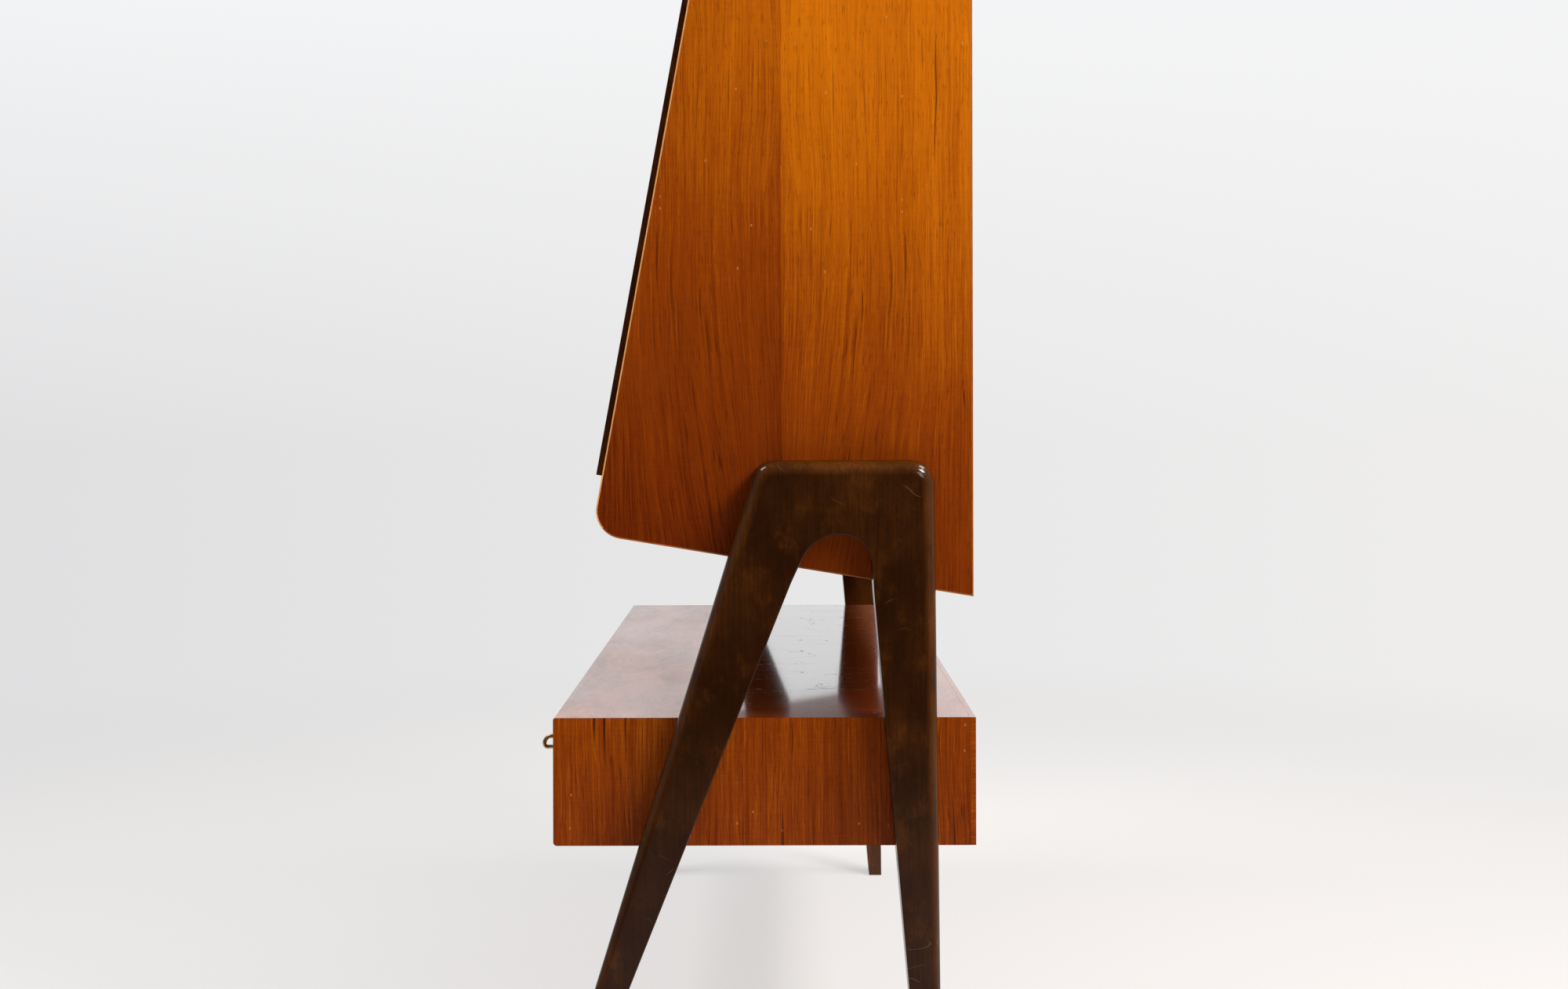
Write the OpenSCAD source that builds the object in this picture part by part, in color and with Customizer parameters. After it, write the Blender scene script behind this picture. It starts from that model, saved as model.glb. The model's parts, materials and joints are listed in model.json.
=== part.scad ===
// A vanity table: a low chest of three drawers carried between two compass-shaped
// leg frames, with a tapered mirror cabinet hung between the heads of the frames.
// The front is the -Y side, the chest runs along X, and the floor is Z = 0.

/* [Chest] */
// Length of the chest
chest_w = 1200; // [1000:10:1500]
// Depth of the chest, back panel included
chest_d = 450; // [420:5:520]
// Height of the chest
chest_h = 136; // [120:1:180]
// Height of the chest's underside above the floor
chest_clear = 312; // [260:1:380]
// Thickness of the chest's veneered boards
board_t = 18; // [15:0.5:24]
// Thickness of the dividers between the drawers
divider_t = 18; // [15:0.5:24]
// Thickness of the panel that closes the chest's back
chest_back_t = 6; // [4:0.5:10]
// Radius that rounds the chest's upper front edge
chest_top_r = 2.5; // [1:0.5:5]
// Radius that rounds the chest's lower front edge
chest_low_r = 4; // [1:0.5:8]

/* [Drawers] */
// Thickness of a drawer front
front_t = 18; // [16:0.5:22]
// Gap all round an inset drawer front
reveal = 1; // [0.8:0.1:2]
// Room behind a closed drawer
drawer_room = 19; // [10:1:80]
// Height of a drawer's sides
drawer_side_h = 84; // [70:1:86]
// Thickness of a drawer's sides and back
drawer_side_t = 12; // [10:0.5:14]
// Thickness of a drawer's bottom
drawer_bottom_t = 5; // [4:0.5:6]
// Height of the drawer bottom above the side's lower edge
bottom_up = 8; // [6:0.5:12]
// How deep the drawer bottom sits in its groove
groove_deep = 6; // [4:0.5:7]
// Number of dovetails at each end of a drawer side
tails = 3; // [2:1:4]
// Length of a dovetail
tail_l = 12; // [8:0.5:13]
// Height of the strips that a drawer runs on
runner_h = 6; // [4:0.5:8]
// Width of the strips that a drawer runs on
runner_w = 14; // [12:1:20]
// Width of the blocks that stop a drawer
stop_w = 30; // [20:1:40]
// Length of the blocks that stop a drawer
stop_l = 12; // [8:1:20]
// Clearance between a drawer and its runners and stops
slide_gap = 0.3; // [0.2:0.1:0.6]

/* [Drawer pulls] */
// Diameter of the brass rod
pull_d = 4.6; // [4:0.2:6]
// Height of the loop, outside to outside
pull_h = 17; // [14:1:26]
// Thickness of the nuts behind the drawer front
nut_t = 3; // [2:0.5:4]
// How far the loop stands out of the drawer front
pull_reach = 35; // [26:1:45]
// Height of the loop's middle above the middle of the drawer front
pull_lift = 9; // [0:1:15]

/* [Leg frames] */
// Height of a leg frame
stand_h = 722; // [690:1:760]
// Thickness of a leg frame
stand_t = 42; // [34:1:50]
// How far the front toe stands ahead of the chest
toe_out = 4; // [0:1:20]
// Distance from the chest's back to the rear heel
heel_in = 41; // [20:1:60]
// Width of the front foot
front_foot_w = 18; // [16:1:30]
// Width of the rear foot
rear_foot_w = 19; // [16:1:30]
// Width of the head that joins the two legs
head_w = 183; // [170:1:200]
// Distance from the chest's back to the head
head_in = 47.5; // [35:0.5:60]
// Radius of the arch between the legs
arch_r = 38.5; // [32:0.5:44]
// Height of the arch's highest point
arch_top = 647; // [620:1:660]
// Distance from the head's front edge to the arch's centre
arch_in = 80; // [74:1:90]
// Radius of the head's front corner
head_front_r = 18; // [15:1:24]
// Radius of the head's rear corner
head_rear_r = 22; // [15:1:26]
// Rounding of the outer edges
edge_r = 13; // [6:1:14]
// Rounding of the outer edges at the feet
foot_edge_r = 6; // [2:1:8]

/* [Mirror cabinet] */
// Height of the cabinet's front corner above the floor
cabinet_top = 1650; // [1400:10:1800]
// Height of the cabinet's lower front corner above the chest
cabinet_gap = 195.7; // [180:0.1:215]
// Distance from the chest's front to the cabinet's lower front corner
cabinet_in = 41.3; // [20:0.1:70]
// Distance from the chest's back to the cabinet's back
cabinet_back_in = 2.3; // [0:0.1:20]
// Lean of the mirrors, in degrees from upright
lean = 10.4; // [6:0.1:12]
// Slope of the cabinet's lower and upper edges, in degrees
slope = 9.4; // [6:0.1:12]
// Radius of the cabinet's front corners
corner_r = 30; // [20:1:40]
// Thickness of the cabinet's sides
side_t = 20; // [16:1:26]
// Thickness of the cabinet's inner boards
inner_t = 16; // [12:1:20]
// Thickness of the cabinet's back
cabinet_back_t = 8; // [5:0.5:12]
// How far the inner boards stay inside the sides' edges
board_in = 3; // [2:0.5:6]
// Height of the rails below and above the mirrors, along the slope
rail_h = 60; // [45:1:80]
// Gap at a shelf's ends and behind it
shelf_gap = 0.5; // [0.3:0.1:0.9]
// Height of the lower shelves above the floor
lower_shelf_z = 930; // [850:10:1000]
// Height of the upper shelves above the floor
upper_shelf_z = 1260; // [1150:10:1300]
// Diameter of a shelf pin
pin_d = 6; // [5:0.5:8]
// Distance of a shelf pin from the shelf's front and back edges
pin_in = 35; // [20:1:50]
// Length of a pin inside its board
pin_deep = 9; // [6:1:12]
// Length of a pin under its shelf
pin_out = 9; // [6:1:14]

/* [Mirrors] */
// Depth of a mirror frame, front to back
frame_t = 20; // [16:0.5:24]
// Width of a mirror frame's rim
frame_w = 14; // [12:0.5:24]
// How far the mirror frames stand out of the sides
proud = 8; // [4:0.5:10]
// Width of the rebate that holds the glass
rebate = 6; // [4:0.5:8]
// How far the glass lies below the front of its frame
glass_in = 4; // [2:0.5:5]
// Thickness of the glass
glass_t = 4; // [3:0.5:5]
// Thickness of the board behind the glass
backing_t = 6; // [4:0.5:7]
// Gap round the mirrors
mirror_gap = 2; // [1:0.1:3]
// Gap between the middle mirror and a wing, which holds the hinge leaves
hinge_gap = 4; // [3.8:0.1:5]

/* [Hinges] */
// Diameter of the hinge barrel
barrel_d = 7; // [6:0.5:8]
// Length of one hinge
hinge_l = 64; // [45:1:80]
// Thickness of a hinge leaf
leaf_t = 1.5; // [1:0.1:1.6]
// Depth of a hinge leaf
leaf_w = 14; // [10:1:18]
// Diameter of the hinge pin
hinge_pin_d = 3.2; // [2.6:0.1:3.6]

/* [Fastenings] */
// Width of a wing's catch
catch_w = 10; // [8:1:16]
// Length of a wing's catch
catch_l = 40; // [25:1:60]
// Diameter of the bolts that hold the leg frames
bolt_d = 6; // [5:0.5:8]
// How far a bolt reaches into a leg frame
bolt_in = 26; // [20:1:30]
// Room round a bolt in the boards that it passes through
bolt_room = 0.3; // [0.1:0.1:0.6]

/* [Hidden] */
$fn = 48;

// Radial play of a pin in its hole, and the amount that a cut runs past a face
play = 0.05;
past = 1;

// The origin lies below the middle of the whole table, pulls included
front_y = -(chest_d - pull_reach) / 2;
back_y = front_y + chest_d;
end_x = chest_w / 2;

// Levels of the chest
chest_top_z = chest_clear + chest_h;
bay_floor = chest_clear + board_t;
bay_h = chest_h - 2 * board_t;
bay_w = (chest_w - 2 * board_t - 2 * divider_t) / 3;
bay_step = bay_w + divider_t;
inner_back_y = back_y - chest_back_t;

// A drawer
drawer_w = bay_w - 2 * reveal;
side_z = bay_floor + runner_h + slide_gap;
bottom_z = side_z + bottom_up;
bottom_top_z = bottom_z + drawer_bottom_t;
front_h = bay_h - 2 * reveal;
front_z = bay_floor + reveal;
front_back_y = front_y + front_t;
drawer_back_y = inner_back_y - drawer_room;
tail_flare = 2;

// Points of the leg frame, in the Y-Z plane
toe_y = front_y - toe_out;
heel_y = back_y - heel_in;
head_rear_y = back_y - head_in;
head_front_y = head_rear_y - head_w;
arch_y = head_front_y + arch_in;
arch_z = arch_top - arch_r;

// The cabinet's lower front corner, before it is rounded
corner_y = front_y + cabinet_in;
corner_z = chest_top_z + cabinet_gap;
cabinet_back_y = back_y - cabinet_back_in;
face_l = (cabinet_top - corner_z) / cos(lean);
cabinet_x = end_x - side_t;

// The mirrors, measured up the leaning face
mirror_low = rail_h + mirror_gap;
mirror_l = face_l - 2 * mirror_low;
mirror_w = (2 * cabinet_x - 2 * mirror_gap - 2 * hinge_gap) / 3;
frame_back = frame_t - proud;
hinge_x = mirror_w / 2 + hinge_gap / 2;
hinge_out = proud + barrel_d / 2 + 0.5;

// Colours
veneer = [0.60, 0.27, 0.05];
dark_wood = [0.24, 0.14, 0.08];
inner_wood = [0.72, 0.52, 0.33];
brass = [0.72, 0.58, 0.32];
glass = [0.80, 0.86, 0.88];

// ---- Helpers ----

// Where two lines meet, each given by a point and a direction
function meet(p, u, q, v) =
  p + u * ((q[0] - p[0]) * v[1] - (q[1] - p[1]) * v[0]) / (u[0] * v[1] - u[1] * v[0]);

// The point where a line from p touches a circle, on its left (1) or right (-1)
function touch(p, c, r, hand) =
  let (d = p - c, far = norm(d), turn = hand * acos(r / far), n = d / far)
  c + r * [n[0] * cos(turn) - n[1] * sin(turn), n[0] * sin(turn) + n[1] * cos(turn)];

// Extrudes a Y-Z outline along X
module along_x(x, length) {
  translate([x, 0, 0]) rotate([90, 0, 90]) linear_extrude(length) children();
}

// Puts a shape on the leaning face: Y runs into the cabinet and Z up the slope
module on_face() {
  translate([0, corner_y, corner_z]) rotate([-lean, 0, 0]) children();
}

// A box from its low corner to its high corner
module block(low, high) {
  translate(low) cube(high - low);
}

// ---- Leg frames ----

// The frame's outer outline from the inner face out to depth, with its edge drawn in
module frame_slice(depth, head_edge, foot_edge) {
  along_x(end_x, depth) {
    translate([head_front_y + head_front_r, stand_h - head_front_r])
      circle(head_front_r - head_edge, $fn = 32);
    translate([head_rear_y - head_rear_r, stand_h - head_rear_r])
      circle(head_rear_r - head_edge, $fn = 32);
    polygon([[toe_y + foot_edge, 0], [heel_y - foot_edge, 0], [arch_y, arch_z]]);
  }
}

// The space between the legs: two straight sides that run into a round arch
module leg_gap() {
  low_front = [toe_y + front_foot_w, 0];
  low_rear = [heel_y - rear_foot_w, 0];
  arch = [arch_y, arch_z];
  front_touch = touch(low_front, arch, arch_r, -1);
  rear_touch = touch(low_rear, arch, arch_r, 1);
  peak = meet(low_front, front_touch - low_front, low_rear, rear_touch - low_rear);
  reach = 1 + past / arch_r;
  low = past / arch_z;
  difference() {
    polygon([low_front - (peak - low_front) * low, peak, low_rear - (peak - low_rear) * low]);
    difference() {
      polygon([arch, arch + (front_touch - arch) * reach, arch + (peak - arch) * reach,
        arch + (rear_touch - arch) * reach]);
      translate(arch) circle(arch_r, $fn = 96);
    }
  }
}

module right_frame() {
  difference() {
    hull() {
      frame_slice(stand_t - edge_r, 0, 0);
      for (a = [18 : 18 : 90])
        frame_slice(stand_t - edge_r + edge_r * sin(a), edge_r * (1 - cos(a)),
          foot_edge_r * (1 - cos(a)));
    }
    along_x(end_x - past, stand_t + 2 * past) leg_gap();
    for (p = bolt_points()) translate([end_x - past, p[0], p[1]])
      rotate([0, 90, 0]) cylinder(r = bolt_d / 2 + play, h = bolt_in + past);
  }
}

// Y and Z of the bolts: two in the head, and one in each leg at the chest
function bolt_points() = concat(head_bolts(), chest_bolts());
function head_bolts() = let (z = (arch_top + stand_h) / 2)
  [[head_front_y + head_w * 0.28, z], [head_rear_y - head_w * 0.28, z]];
function chest_bolts() = let (z = chest_clear + chest_h / 2, up = z / arch_z)
  [[toe_y + front_foot_w / 2 + up * (arch_y - 1.9 * arch_r - toe_y - front_foot_w / 2), z],
   [heel_y - rear_foot_w / 2 + up * (arch_y + 1.85 * arch_r - heel_y + rear_foot_w / 2), z]];

// A countersunk bolt, its head flush with the inner face of a board
module bolt(x, p, t, r_extra) {
  translate([x, p[0], p[1]]) rotate([0, 90, 0]) {
    cylinder(r = bolt_d / 2 + r_extra, h = t + bolt_in - past);
    cylinder(r1 = bolt_d + r_extra, r2 = bolt_d / 2 + r_extra, h = bolt_d / 2);
  }
}

module side_bolts(r_extra) {
  for (p = head_bolts()) bolt(cabinet_x, p, side_t, r_extra);
  for (p = chest_bolts()) bolt(end_x - board_t, p, board_t, r_extra);
}

module right_leg_frame() {
  color(dark_wood) right_frame();
}

module left_leg_frame() {
  color(dark_wood) mirror([1, 0, 0]) right_frame();
}

module frame_bolts() {
  color(brass) {
    side_bolts(0);
    mirror([1, 0, 0]) side_bolts(0);
  }
}

// ---- Chest ----

// A board of the chest's length, mitred at both ends, its outer face at z = 0
module mitred_board(w, t) {
  translate([0, inner_back_y, 0]) rotate([90, 0, 0]) linear_extrude(inner_back_y - front_y)
    polygon([[-w / 2, 0], [w / 2, 0], [w / 2 - t, t], [-w / 2 + t, t]]);
}

// What is cut off a front corner of the chest's end view to round it; up points into the chest
module front_corner_waste(z, r, up) {
  centre = [front_y + r, z + up * r];
  difference() {
    polygon([centre, centre - [r + past, 0], centre - [r + past, up * (r + past)],
      centre - [0, up * (r + past)]]);
    translate(centre) circle(r, $fn = 96);
  }
}

// What rounds the chest's two front edges, over its whole length
module front_edge_waste() {
  translate([-end_x - past, 0, 0]) rotate([90, 0, 90]) linear_extrude(chest_w + 2 * past) {
    front_corner_waste(chest_top_z, chest_top_r, -1);
    front_corner_waste(chest_clear, chest_low_r, 1);
  }
}

module chest_bottom() {
  color(veneer) difference() {
    translate([0, 0, chest_clear]) mitred_board(chest_w, board_t);
    front_edge_waste();
  }
}

module chest_top() {
  color(veneer) difference() {
    translate([0, 0, chest_top_z]) mirror([0, 0, 1]) mitred_board(chest_w, board_t);
    front_edge_waste();
  }
}

module right_end() {
  difference() {
    translate([end_x, 0, chest_clear + chest_h / 2]) rotate([0, -90, 0])
      mitred_board(chest_h, board_t);
    side_bolts(bolt_room);
    front_edge_waste();
  }
}

module chest_right_end() {
  color(veneer) right_end();
}

module chest_left_end() {
  color(veneer) mirror([1, 0, 0]) right_end();
}

module chest_back() {
  color(veneer) block([-end_x, inner_back_y, chest_clear], [end_x, back_y, chest_top_z]);
}

module divider(side) {
  middle = side * bay_step / 2;
  color(inner_wood) block([middle - divider_t / 2, front_y, bay_floor],
    [middle + divider_t / 2, inner_back_y, bay_floor + bay_h]);
}

module chest_left_divider() {
  divider(-1);
}

module chest_right_divider() {
  divider(1);
}

// Two hardwood strips under each drawer
module drawer_runners() {
  color(inner_wood) for (bay = [-1 : 1], side = [-1, 1])
    translate([bay * bay_step + side * (bay_w - runner_w) / 2, 0, 0])
      block([-runner_w / 2, front_back_y + tail_l, bay_floor],
        [runner_w / 2, inner_back_y, bay_floor + runner_h]);
}

// Small blocks that each drawer front closes against
module drawer_stops() {
  color(inner_wood) for (bay = [-1 : 1], side = [-1, 1])
    translate([bay * bay_step + side * bay_w / 4, 0, 0])
      block([-stop_w / 2, front_back_y + slide_gap, bay_floor],
        [stop_w / 2, front_back_y + slide_gap + stop_l, bay_floor + runner_h - 1]);
}

// ---- Drawers ----

// Corners of a row of dovetails that rises from z0 to z1 and points to y = len
function tail_row(y, len, z0, z1) = let (pitch = (z1 - z0) / tails, half = pitch / 3.4)
  [for (i = [0 : tails - 1]) let (z = z0 + (i + 0.5) * pitch)
    each [[y, z - half + tail_flare], [y + len, z - half],
      [y + len, z + half], [y, z + half - tail_flare]]];

// The front tails start above the drawer bottom's groove, and the rear ones stand on it
front_tails = tail_row(front_back_y, -tail_l, side_z, side_z + drawer_side_h);
rear_tails = tail_row(drawer_back_y - drawer_side_t, drawer_side_t, bottom_top_z,
  side_z + drawer_side_h);

// A side seen from its end: shoulders, with dovetails fore and aft
module side_outline() {
  back_end = [for (i = [len(rear_tails) - 1 : -1 : 0]) rear_tails[i]];
  polygon(concat([[front_back_y, side_z]], front_tails,
    [[front_back_y, side_z + drawer_side_h],
     [drawer_back_y - drawer_side_t, side_z + drawer_side_h]], back_end,
    [[drawer_back_y - drawer_side_t, bottom_top_z], [drawer_back_y, bottom_top_z],
     [drawer_back_y, side_z]]));
}

// The sockets that a row of dovetails fits, at both ends of a board
module sockets(row) {
  for (side = [-1, 1], i = [0 : tails - 1])
    along_x(side * (drawer_w - drawer_side_t) / 2 - drawer_side_t / 2, drawer_side_t)
      polygon([for (k = [0 : 3]) row[4 * i + k]]);
}

module drawer_bottom() {
  half = drawer_w / 2 - drawer_side_t + groove_deep;
  block([-half, front_back_y - groove_deep, bottom_z], [half, drawer_back_y, bottom_top_z]);
}

function pull_z() = front_z + front_h / 2 + pull_lift;

// The rod's two legs run through the drawer front
module pull_holes() {
  for (z = pull_leg_z()) translate([0, front_y - past, z]) rotate([-90, 0, 0])
    cylinder(r = pull_d / 2 + play, h = front_t + 2 * past);
}

function pull_leg_z() = let (half = (pull_h - pull_d) / 2) [pull_z() - half, pull_z() + half];

module drawer_front() {
  difference() {
    block([-drawer_w / 2, front_y, front_z], [drawer_w / 2, front_back_y, front_z + front_h]);
    sockets(front_tails);
    drawer_bottom();
    pull_holes();
  }
}

module drawer_sides() {
  difference() {
    for (side = [-1, 1])
      along_x(side * (drawer_w - drawer_side_t) / 2 - drawer_side_t / 2, drawer_side_t)
        side_outline();
    drawer_bottom();
  }
}

module drawer_back() {
  difference() {
    block([-drawer_w / 2, drawer_back_y - drawer_side_t, bottom_top_z],
      [drawer_w / 2, drawer_back_y, side_z + drawer_side_h]);
    sockets(rear_tails);
  }
}

// A quarter bend of the rod in the Y-Z plane, centred on the origin
module rod_bend(r, turn) {
  rotate([turn, 0, 0]) rotate([0, 90, 0]) rotate_extrude(angle = 90, $fn = 64)
    translate([r, 0]) circle(pull_d / 2, $fn = 24);
}

// A straight length of rod from y0 to y1
module rod(y0, y1, z) {
  translate([0, y0, z]) rotate([-90, 0, 0]) cylinder(r = pull_d / 2, h = y1 - y0);
}

// A tight bend below and a wide one above, both ends running through the front
module drawer_pull() {
  gap = pull_h - pull_d;
  low_r = gap * 0.3;
  high_r = gap - low_r;
  tip_y = front_y - pull_reach + pull_d / 2;
  rear_y = front_back_y + nut_t;
  low_z = pull_leg_z()[0];
  high_z = pull_leg_z()[1];
  rod(tip_y + low_r, rear_y, low_z);
  rod(tip_y + high_r, rear_y, high_z);
  translate([0, tip_y + low_r, low_z + low_r]) rod_bend(low_r, 270);
  translate([0, tip_y + high_r, high_z - high_r]) rod_bend(high_r, 180);
}

module drawer_nuts() {
  difference() {
    for (z = pull_leg_z()) translate([0, front_back_y, z]) rotate([-90, 0, 0])
      cylinder(r = pull_d * 0.95, h = nut_t, $fn = 6);
    for (z = pull_leg_z()) translate([0, front_y, z]) rotate([-90, 0, 0])
      cylinder(r = pull_d / 2 + play, h = front_t + nut_t + past);
  }
}

module in_bay(bay) {
  translate([bay * bay_step, 0, 0]) children();
}

module left_drawer_front() {
  color(veneer) in_bay(-1) drawer_front();
}

module left_drawer_sides() {
  color(inner_wood) in_bay(-1) drawer_sides();
}

module left_drawer_back() {
  color(inner_wood) in_bay(-1) drawer_back();
}

module left_drawer_bottom() {
  color(inner_wood) in_bay(-1) drawer_bottom();
}

module left_drawer_pull() {
  color(brass) in_bay(-1) drawer_pull();
}

module left_drawer_nuts() {
  color(brass) in_bay(-1) drawer_nuts();
}

module centre_drawer_front() {
  color(veneer) in_bay(0) drawer_front();
}

module centre_drawer_sides() {
  color(inner_wood) in_bay(0) drawer_sides();
}

module centre_drawer_back() {
  color(inner_wood) in_bay(0) drawer_back();
}

module centre_drawer_bottom() {
  color(inner_wood) in_bay(0) drawer_bottom();
}

module centre_drawer_pull() {
  color(brass) in_bay(0) drawer_pull();
}

module centre_drawer_nuts() {
  color(brass) in_bay(0) drawer_nuts();
}

module right_drawer_front() {
  color(veneer) in_bay(1) drawer_front();
}

module right_drawer_sides() {
  color(inner_wood) in_bay(1) drawer_sides();
}

module right_drawer_back() {
  color(inner_wood) in_bay(1) drawer_back();
}

module right_drawer_bottom() {
  color(inner_wood) in_bay(1) drawer_bottom();
}

module right_drawer_pull() {
  color(brass) in_bay(1) drawer_pull();
}

module right_drawer_nuts() {
  color(brass) in_bay(1) drawer_nuts();
}

// ---- Mirror cabinet ----

up = [sin(lean), cos(lean)];
inward = [cos(lean), -sin(lean)];
along_base = [cos(slope), -sin(slope)];
above_base = [sin(slope), cos(slope)];
low_corner = [corner_y, corner_z];
high_corner = low_corner + up * face_l;

// The cabinet's four corners, with every edge drawn in by d
function low_front(d) = meet(low_corner + inward * d, up, low_corner + above_base * d, along_base);
function high_front(d) = meet(low_corner + inward * d, up, high_corner - above_base * d, along_base);
function low_back(d) = meet([cabinet_back_y - d, 0], [0, 1], low_corner + above_base * d, along_base);
function high_back(d) = meet([cabinet_back_y - d, 0], [0, 1], high_corner - above_base * d, along_base);

// What is cut off a sharp corner of the front face to round it, toward up or down the slope
module corner_waste(centre, r, away) {
  difference() {
    polygon([centre, centre - inward * (r + past), centre - inward * (r + past) + away * (r + past),
      centre + away * (r + past)]);
    translate(centre) circle(r, $fn = 96);
  }
}

// A side's outline drawn in by d: both front corners are round
module cabinet_outline(d) {
  difference() {
    polygon([low_front(d), high_front(d), high_back(d), low_back(d)]);
    corner_waste(low_front(corner_r), corner_r - d, -above_base);
    corner_waste(high_front(corner_r), corner_r - d, above_base);
  }
}

// A band that lies between two distances from the front face and from the low corner
module face_band(in0, in1, up0, up1) {
  polygon([for (c = [[in0, up0], [in1, up0], [in1, up1], [in0, up1]])
    low_corner + inward * c[0] + up * c[1]]);
}

// Bands of thickness t along the base, the roof and the back
module floor_band(t) {
  reach = chest_d;
  polygon([low_corner - along_base * reach - above_base * past, low_corner - along_base * reach
    + above_base * t, low_corner + along_base * 2 * reach + above_base * t,
    low_corner + along_base * 2 * reach - above_base * past]);
}

module roof_band(t) {
  reach = chest_d;
  polygon([high_corner - along_base * reach + above_base * past, high_corner - along_base
    * reach - above_base * t, high_corner + along_base * 2 * reach - above_base * t,
    high_corner + along_base * 2 * reach + above_base * past]);
}

module back_band(t) {
  polygon([[cabinet_back_y - t, corner_z - chest_d], [cabinet_back_y + past, corner_z - chest_d],
    [cabinet_back_y + past, cabinet_top + past], [cabinet_back_y - t, cabinet_top + past]]);
}

// The front boards below and above the mirrors, from the face inwards
module low_rail_band() {
  face_band(-past, board_in + inner_t, -corner_r, rail_h);
}

module high_rail_band() {
  face_band(-past, board_in + inner_t, face_l - rail_h, face_l + corner_r);
}

module low_rail_outline() {
  intersection() {
    cabinet_outline(board_in);
    low_rail_band();
  }
}

module high_rail_outline() {
  intersection() {
    cabinet_outline(board_in);
    high_rail_band();
  }
}

module back_outline() {
  intersection() {
    cabinet_outline(0);
    back_band(cabinet_back_t);
  }
}

module floor_outline() {
  difference() {
    intersection() {
      cabinet_outline(board_in);
      floor_band(board_in + inner_t);
    }
    low_rail_band();
    back_band(cabinet_back_t);
  }
}

module roof_outline() {
  difference() {
    intersection() {
      cabinet_outline(board_in);
      roof_band(board_in + inner_t);
    }
    high_rail_band();
    back_band(cabinet_back_t);
  }
}

// What is left inside, behind the mirrors
module partition_outline() {
  difference() {
    cabinet_outline(board_in);
    floor_band(board_in + inner_t);
    roof_band(board_in + inner_t);
    back_band(cabinet_back_t);
    low_rail_band();
    high_rail_band();
    face_band(-past, frame_back, 0, face_l);
  }
}

// Shelves: the front edge follows the leaning mirrors
shelf_t = inner_t;
shelf_back_y = cabinet_back_y - cabinet_back_t - shelf_gap;
function shelf_front_y(z) = corner_y + (z + shelf_t - corner_z) * tan(lean)
  + (frame_back + 2 * shelf_gap) / cos(lean);
shelf_levels = [lower_shelf_z, upper_shelf_z];
function pin_ys(z) = [shelf_front_y(z) + pin_in, shelf_back_y - pin_in];

module right_side() {
  difference() {
    along_x(cabinet_x, side_t) cabinet_outline(0);
    side_bolts(bolt_room);
    shelf_pin_holes();
  }
}

module cabinet_right_side() {
  color(veneer) right_side();
}

module cabinet_left_side() {
  color(veneer) mirror([1, 0, 0]) right_side();
}

module cabinet_bottom() {
  color(inner_wood) along_x(-cabinet_x, 2 * cabinet_x) floor_outline();
}

module cabinet_top() {
  color(inner_wood) along_x(-cabinet_x, 2 * cabinet_x) roof_outline();
}

module cabinet_back() {
  color(inner_wood) along_x(-cabinet_x, 2 * cabinet_x) back_outline();
}

module cabinet_bottom_rail() {
  color(veneer) along_x(-cabinet_x, 2 * cabinet_x) low_rail_outline();
}

module cabinet_top_rail() {
  color(veneer) along_x(-cabinet_x, 2 * cabinet_x) high_rail_outline();
}

// The partitions carry the middle mirror on their front edges
partition_x = mirror_w / 2;

module right_partition() {
  difference() {
    along_x(partition_x - inner_t, inner_t) partition_outline();
    shelf_pin_holes();
  }
}

module cabinet_right_partition() {
  color(inner_wood) right_partition();
}

module cabinet_left_partition() {
  color(inner_wood) mirror([1, 0, 0]) right_partition();
}

module shelf_pair() {
  for (z = shelf_levels)
    block([partition_x + shelf_gap, shelf_front_y(z), z],
      [cabinet_x - shelf_gap, shelf_back_y, z + shelf_t]);
}

module left_shelves() {
  color(inner_wood) mirror([1, 0, 0]) shelf_pair();
}

module right_shelves() {
  color(inner_wood) shelf_pair();
}

// Each pin is let into a board, and its flat tongue carries a shelf
module shelf_pin_rods(r, deep) {
  for (z = shelf_levels, y = pin_ys(z)) translate([0, y, z - pin_d / 2]) {
    translate([cabinet_x, 0, 0]) rotate([0, 90, 0]) cylinder(r = r, h = deep);
    translate([partition_x - deep, 0, 0]) rotate([0, 90, 0]) cylinder(r = r, h = deep);
  }
}

module shelf_pin_holes() {
  shelf_pin_rods(pin_d / 2 + play, pin_deep + play);
}

module pins_of_one_bay() {
  shelf_pin_rods(pin_d / 2, pin_deep);
  for (z = shelf_levels, y = pin_ys(z), x = [cabinet_x - pin_out, partition_x])
    block([x, y - pin_d / 2, z - pin_d], [x + pin_out, y + pin_d / 2, z]);
}

module shelf_pins() {
  color(brass) {
    pins_of_one_bay();
    mirror([1, 0, 0]) pins_of_one_bay();
  }
}

// Blocks behind the wings' outer edges, which the wings close against
module catch_pair() {
  on_face() for (z = [mirror_low + mirror_l * 0.15, mirror_low + mirror_l * 0.85])
    block([cabinet_x - catch_w, frame_back + slide_gap, z - catch_l / 2],
      [cabinet_x, frame_back + slide_gap + inner_t, z + catch_l / 2]);
}

module wing_catches() {
  color(brass) {
    catch_pair();
    mirror([1, 0, 0]) catch_pair();
  }
}

// ---- Mirrors ----

// A mirror that starts at x on the leaning face
module frame_of_mirror(x) {
  on_face() difference() {
    block([x, -proud, mirror_low], [x + mirror_w, frame_back, mirror_low + mirror_l]);
    block([x + frame_w, -proud - past, mirror_low + frame_w],
      [x + mirror_w - frame_w, frame_back, mirror_low + mirror_l - frame_w]);
    block([x + frame_w - rebate, glass_in - proud, mirror_low + frame_w - rebate],
      [x + mirror_w - frame_w + rebate, frame_back + past,
       mirror_low + mirror_l - frame_w + rebate]);
  }
}

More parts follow.
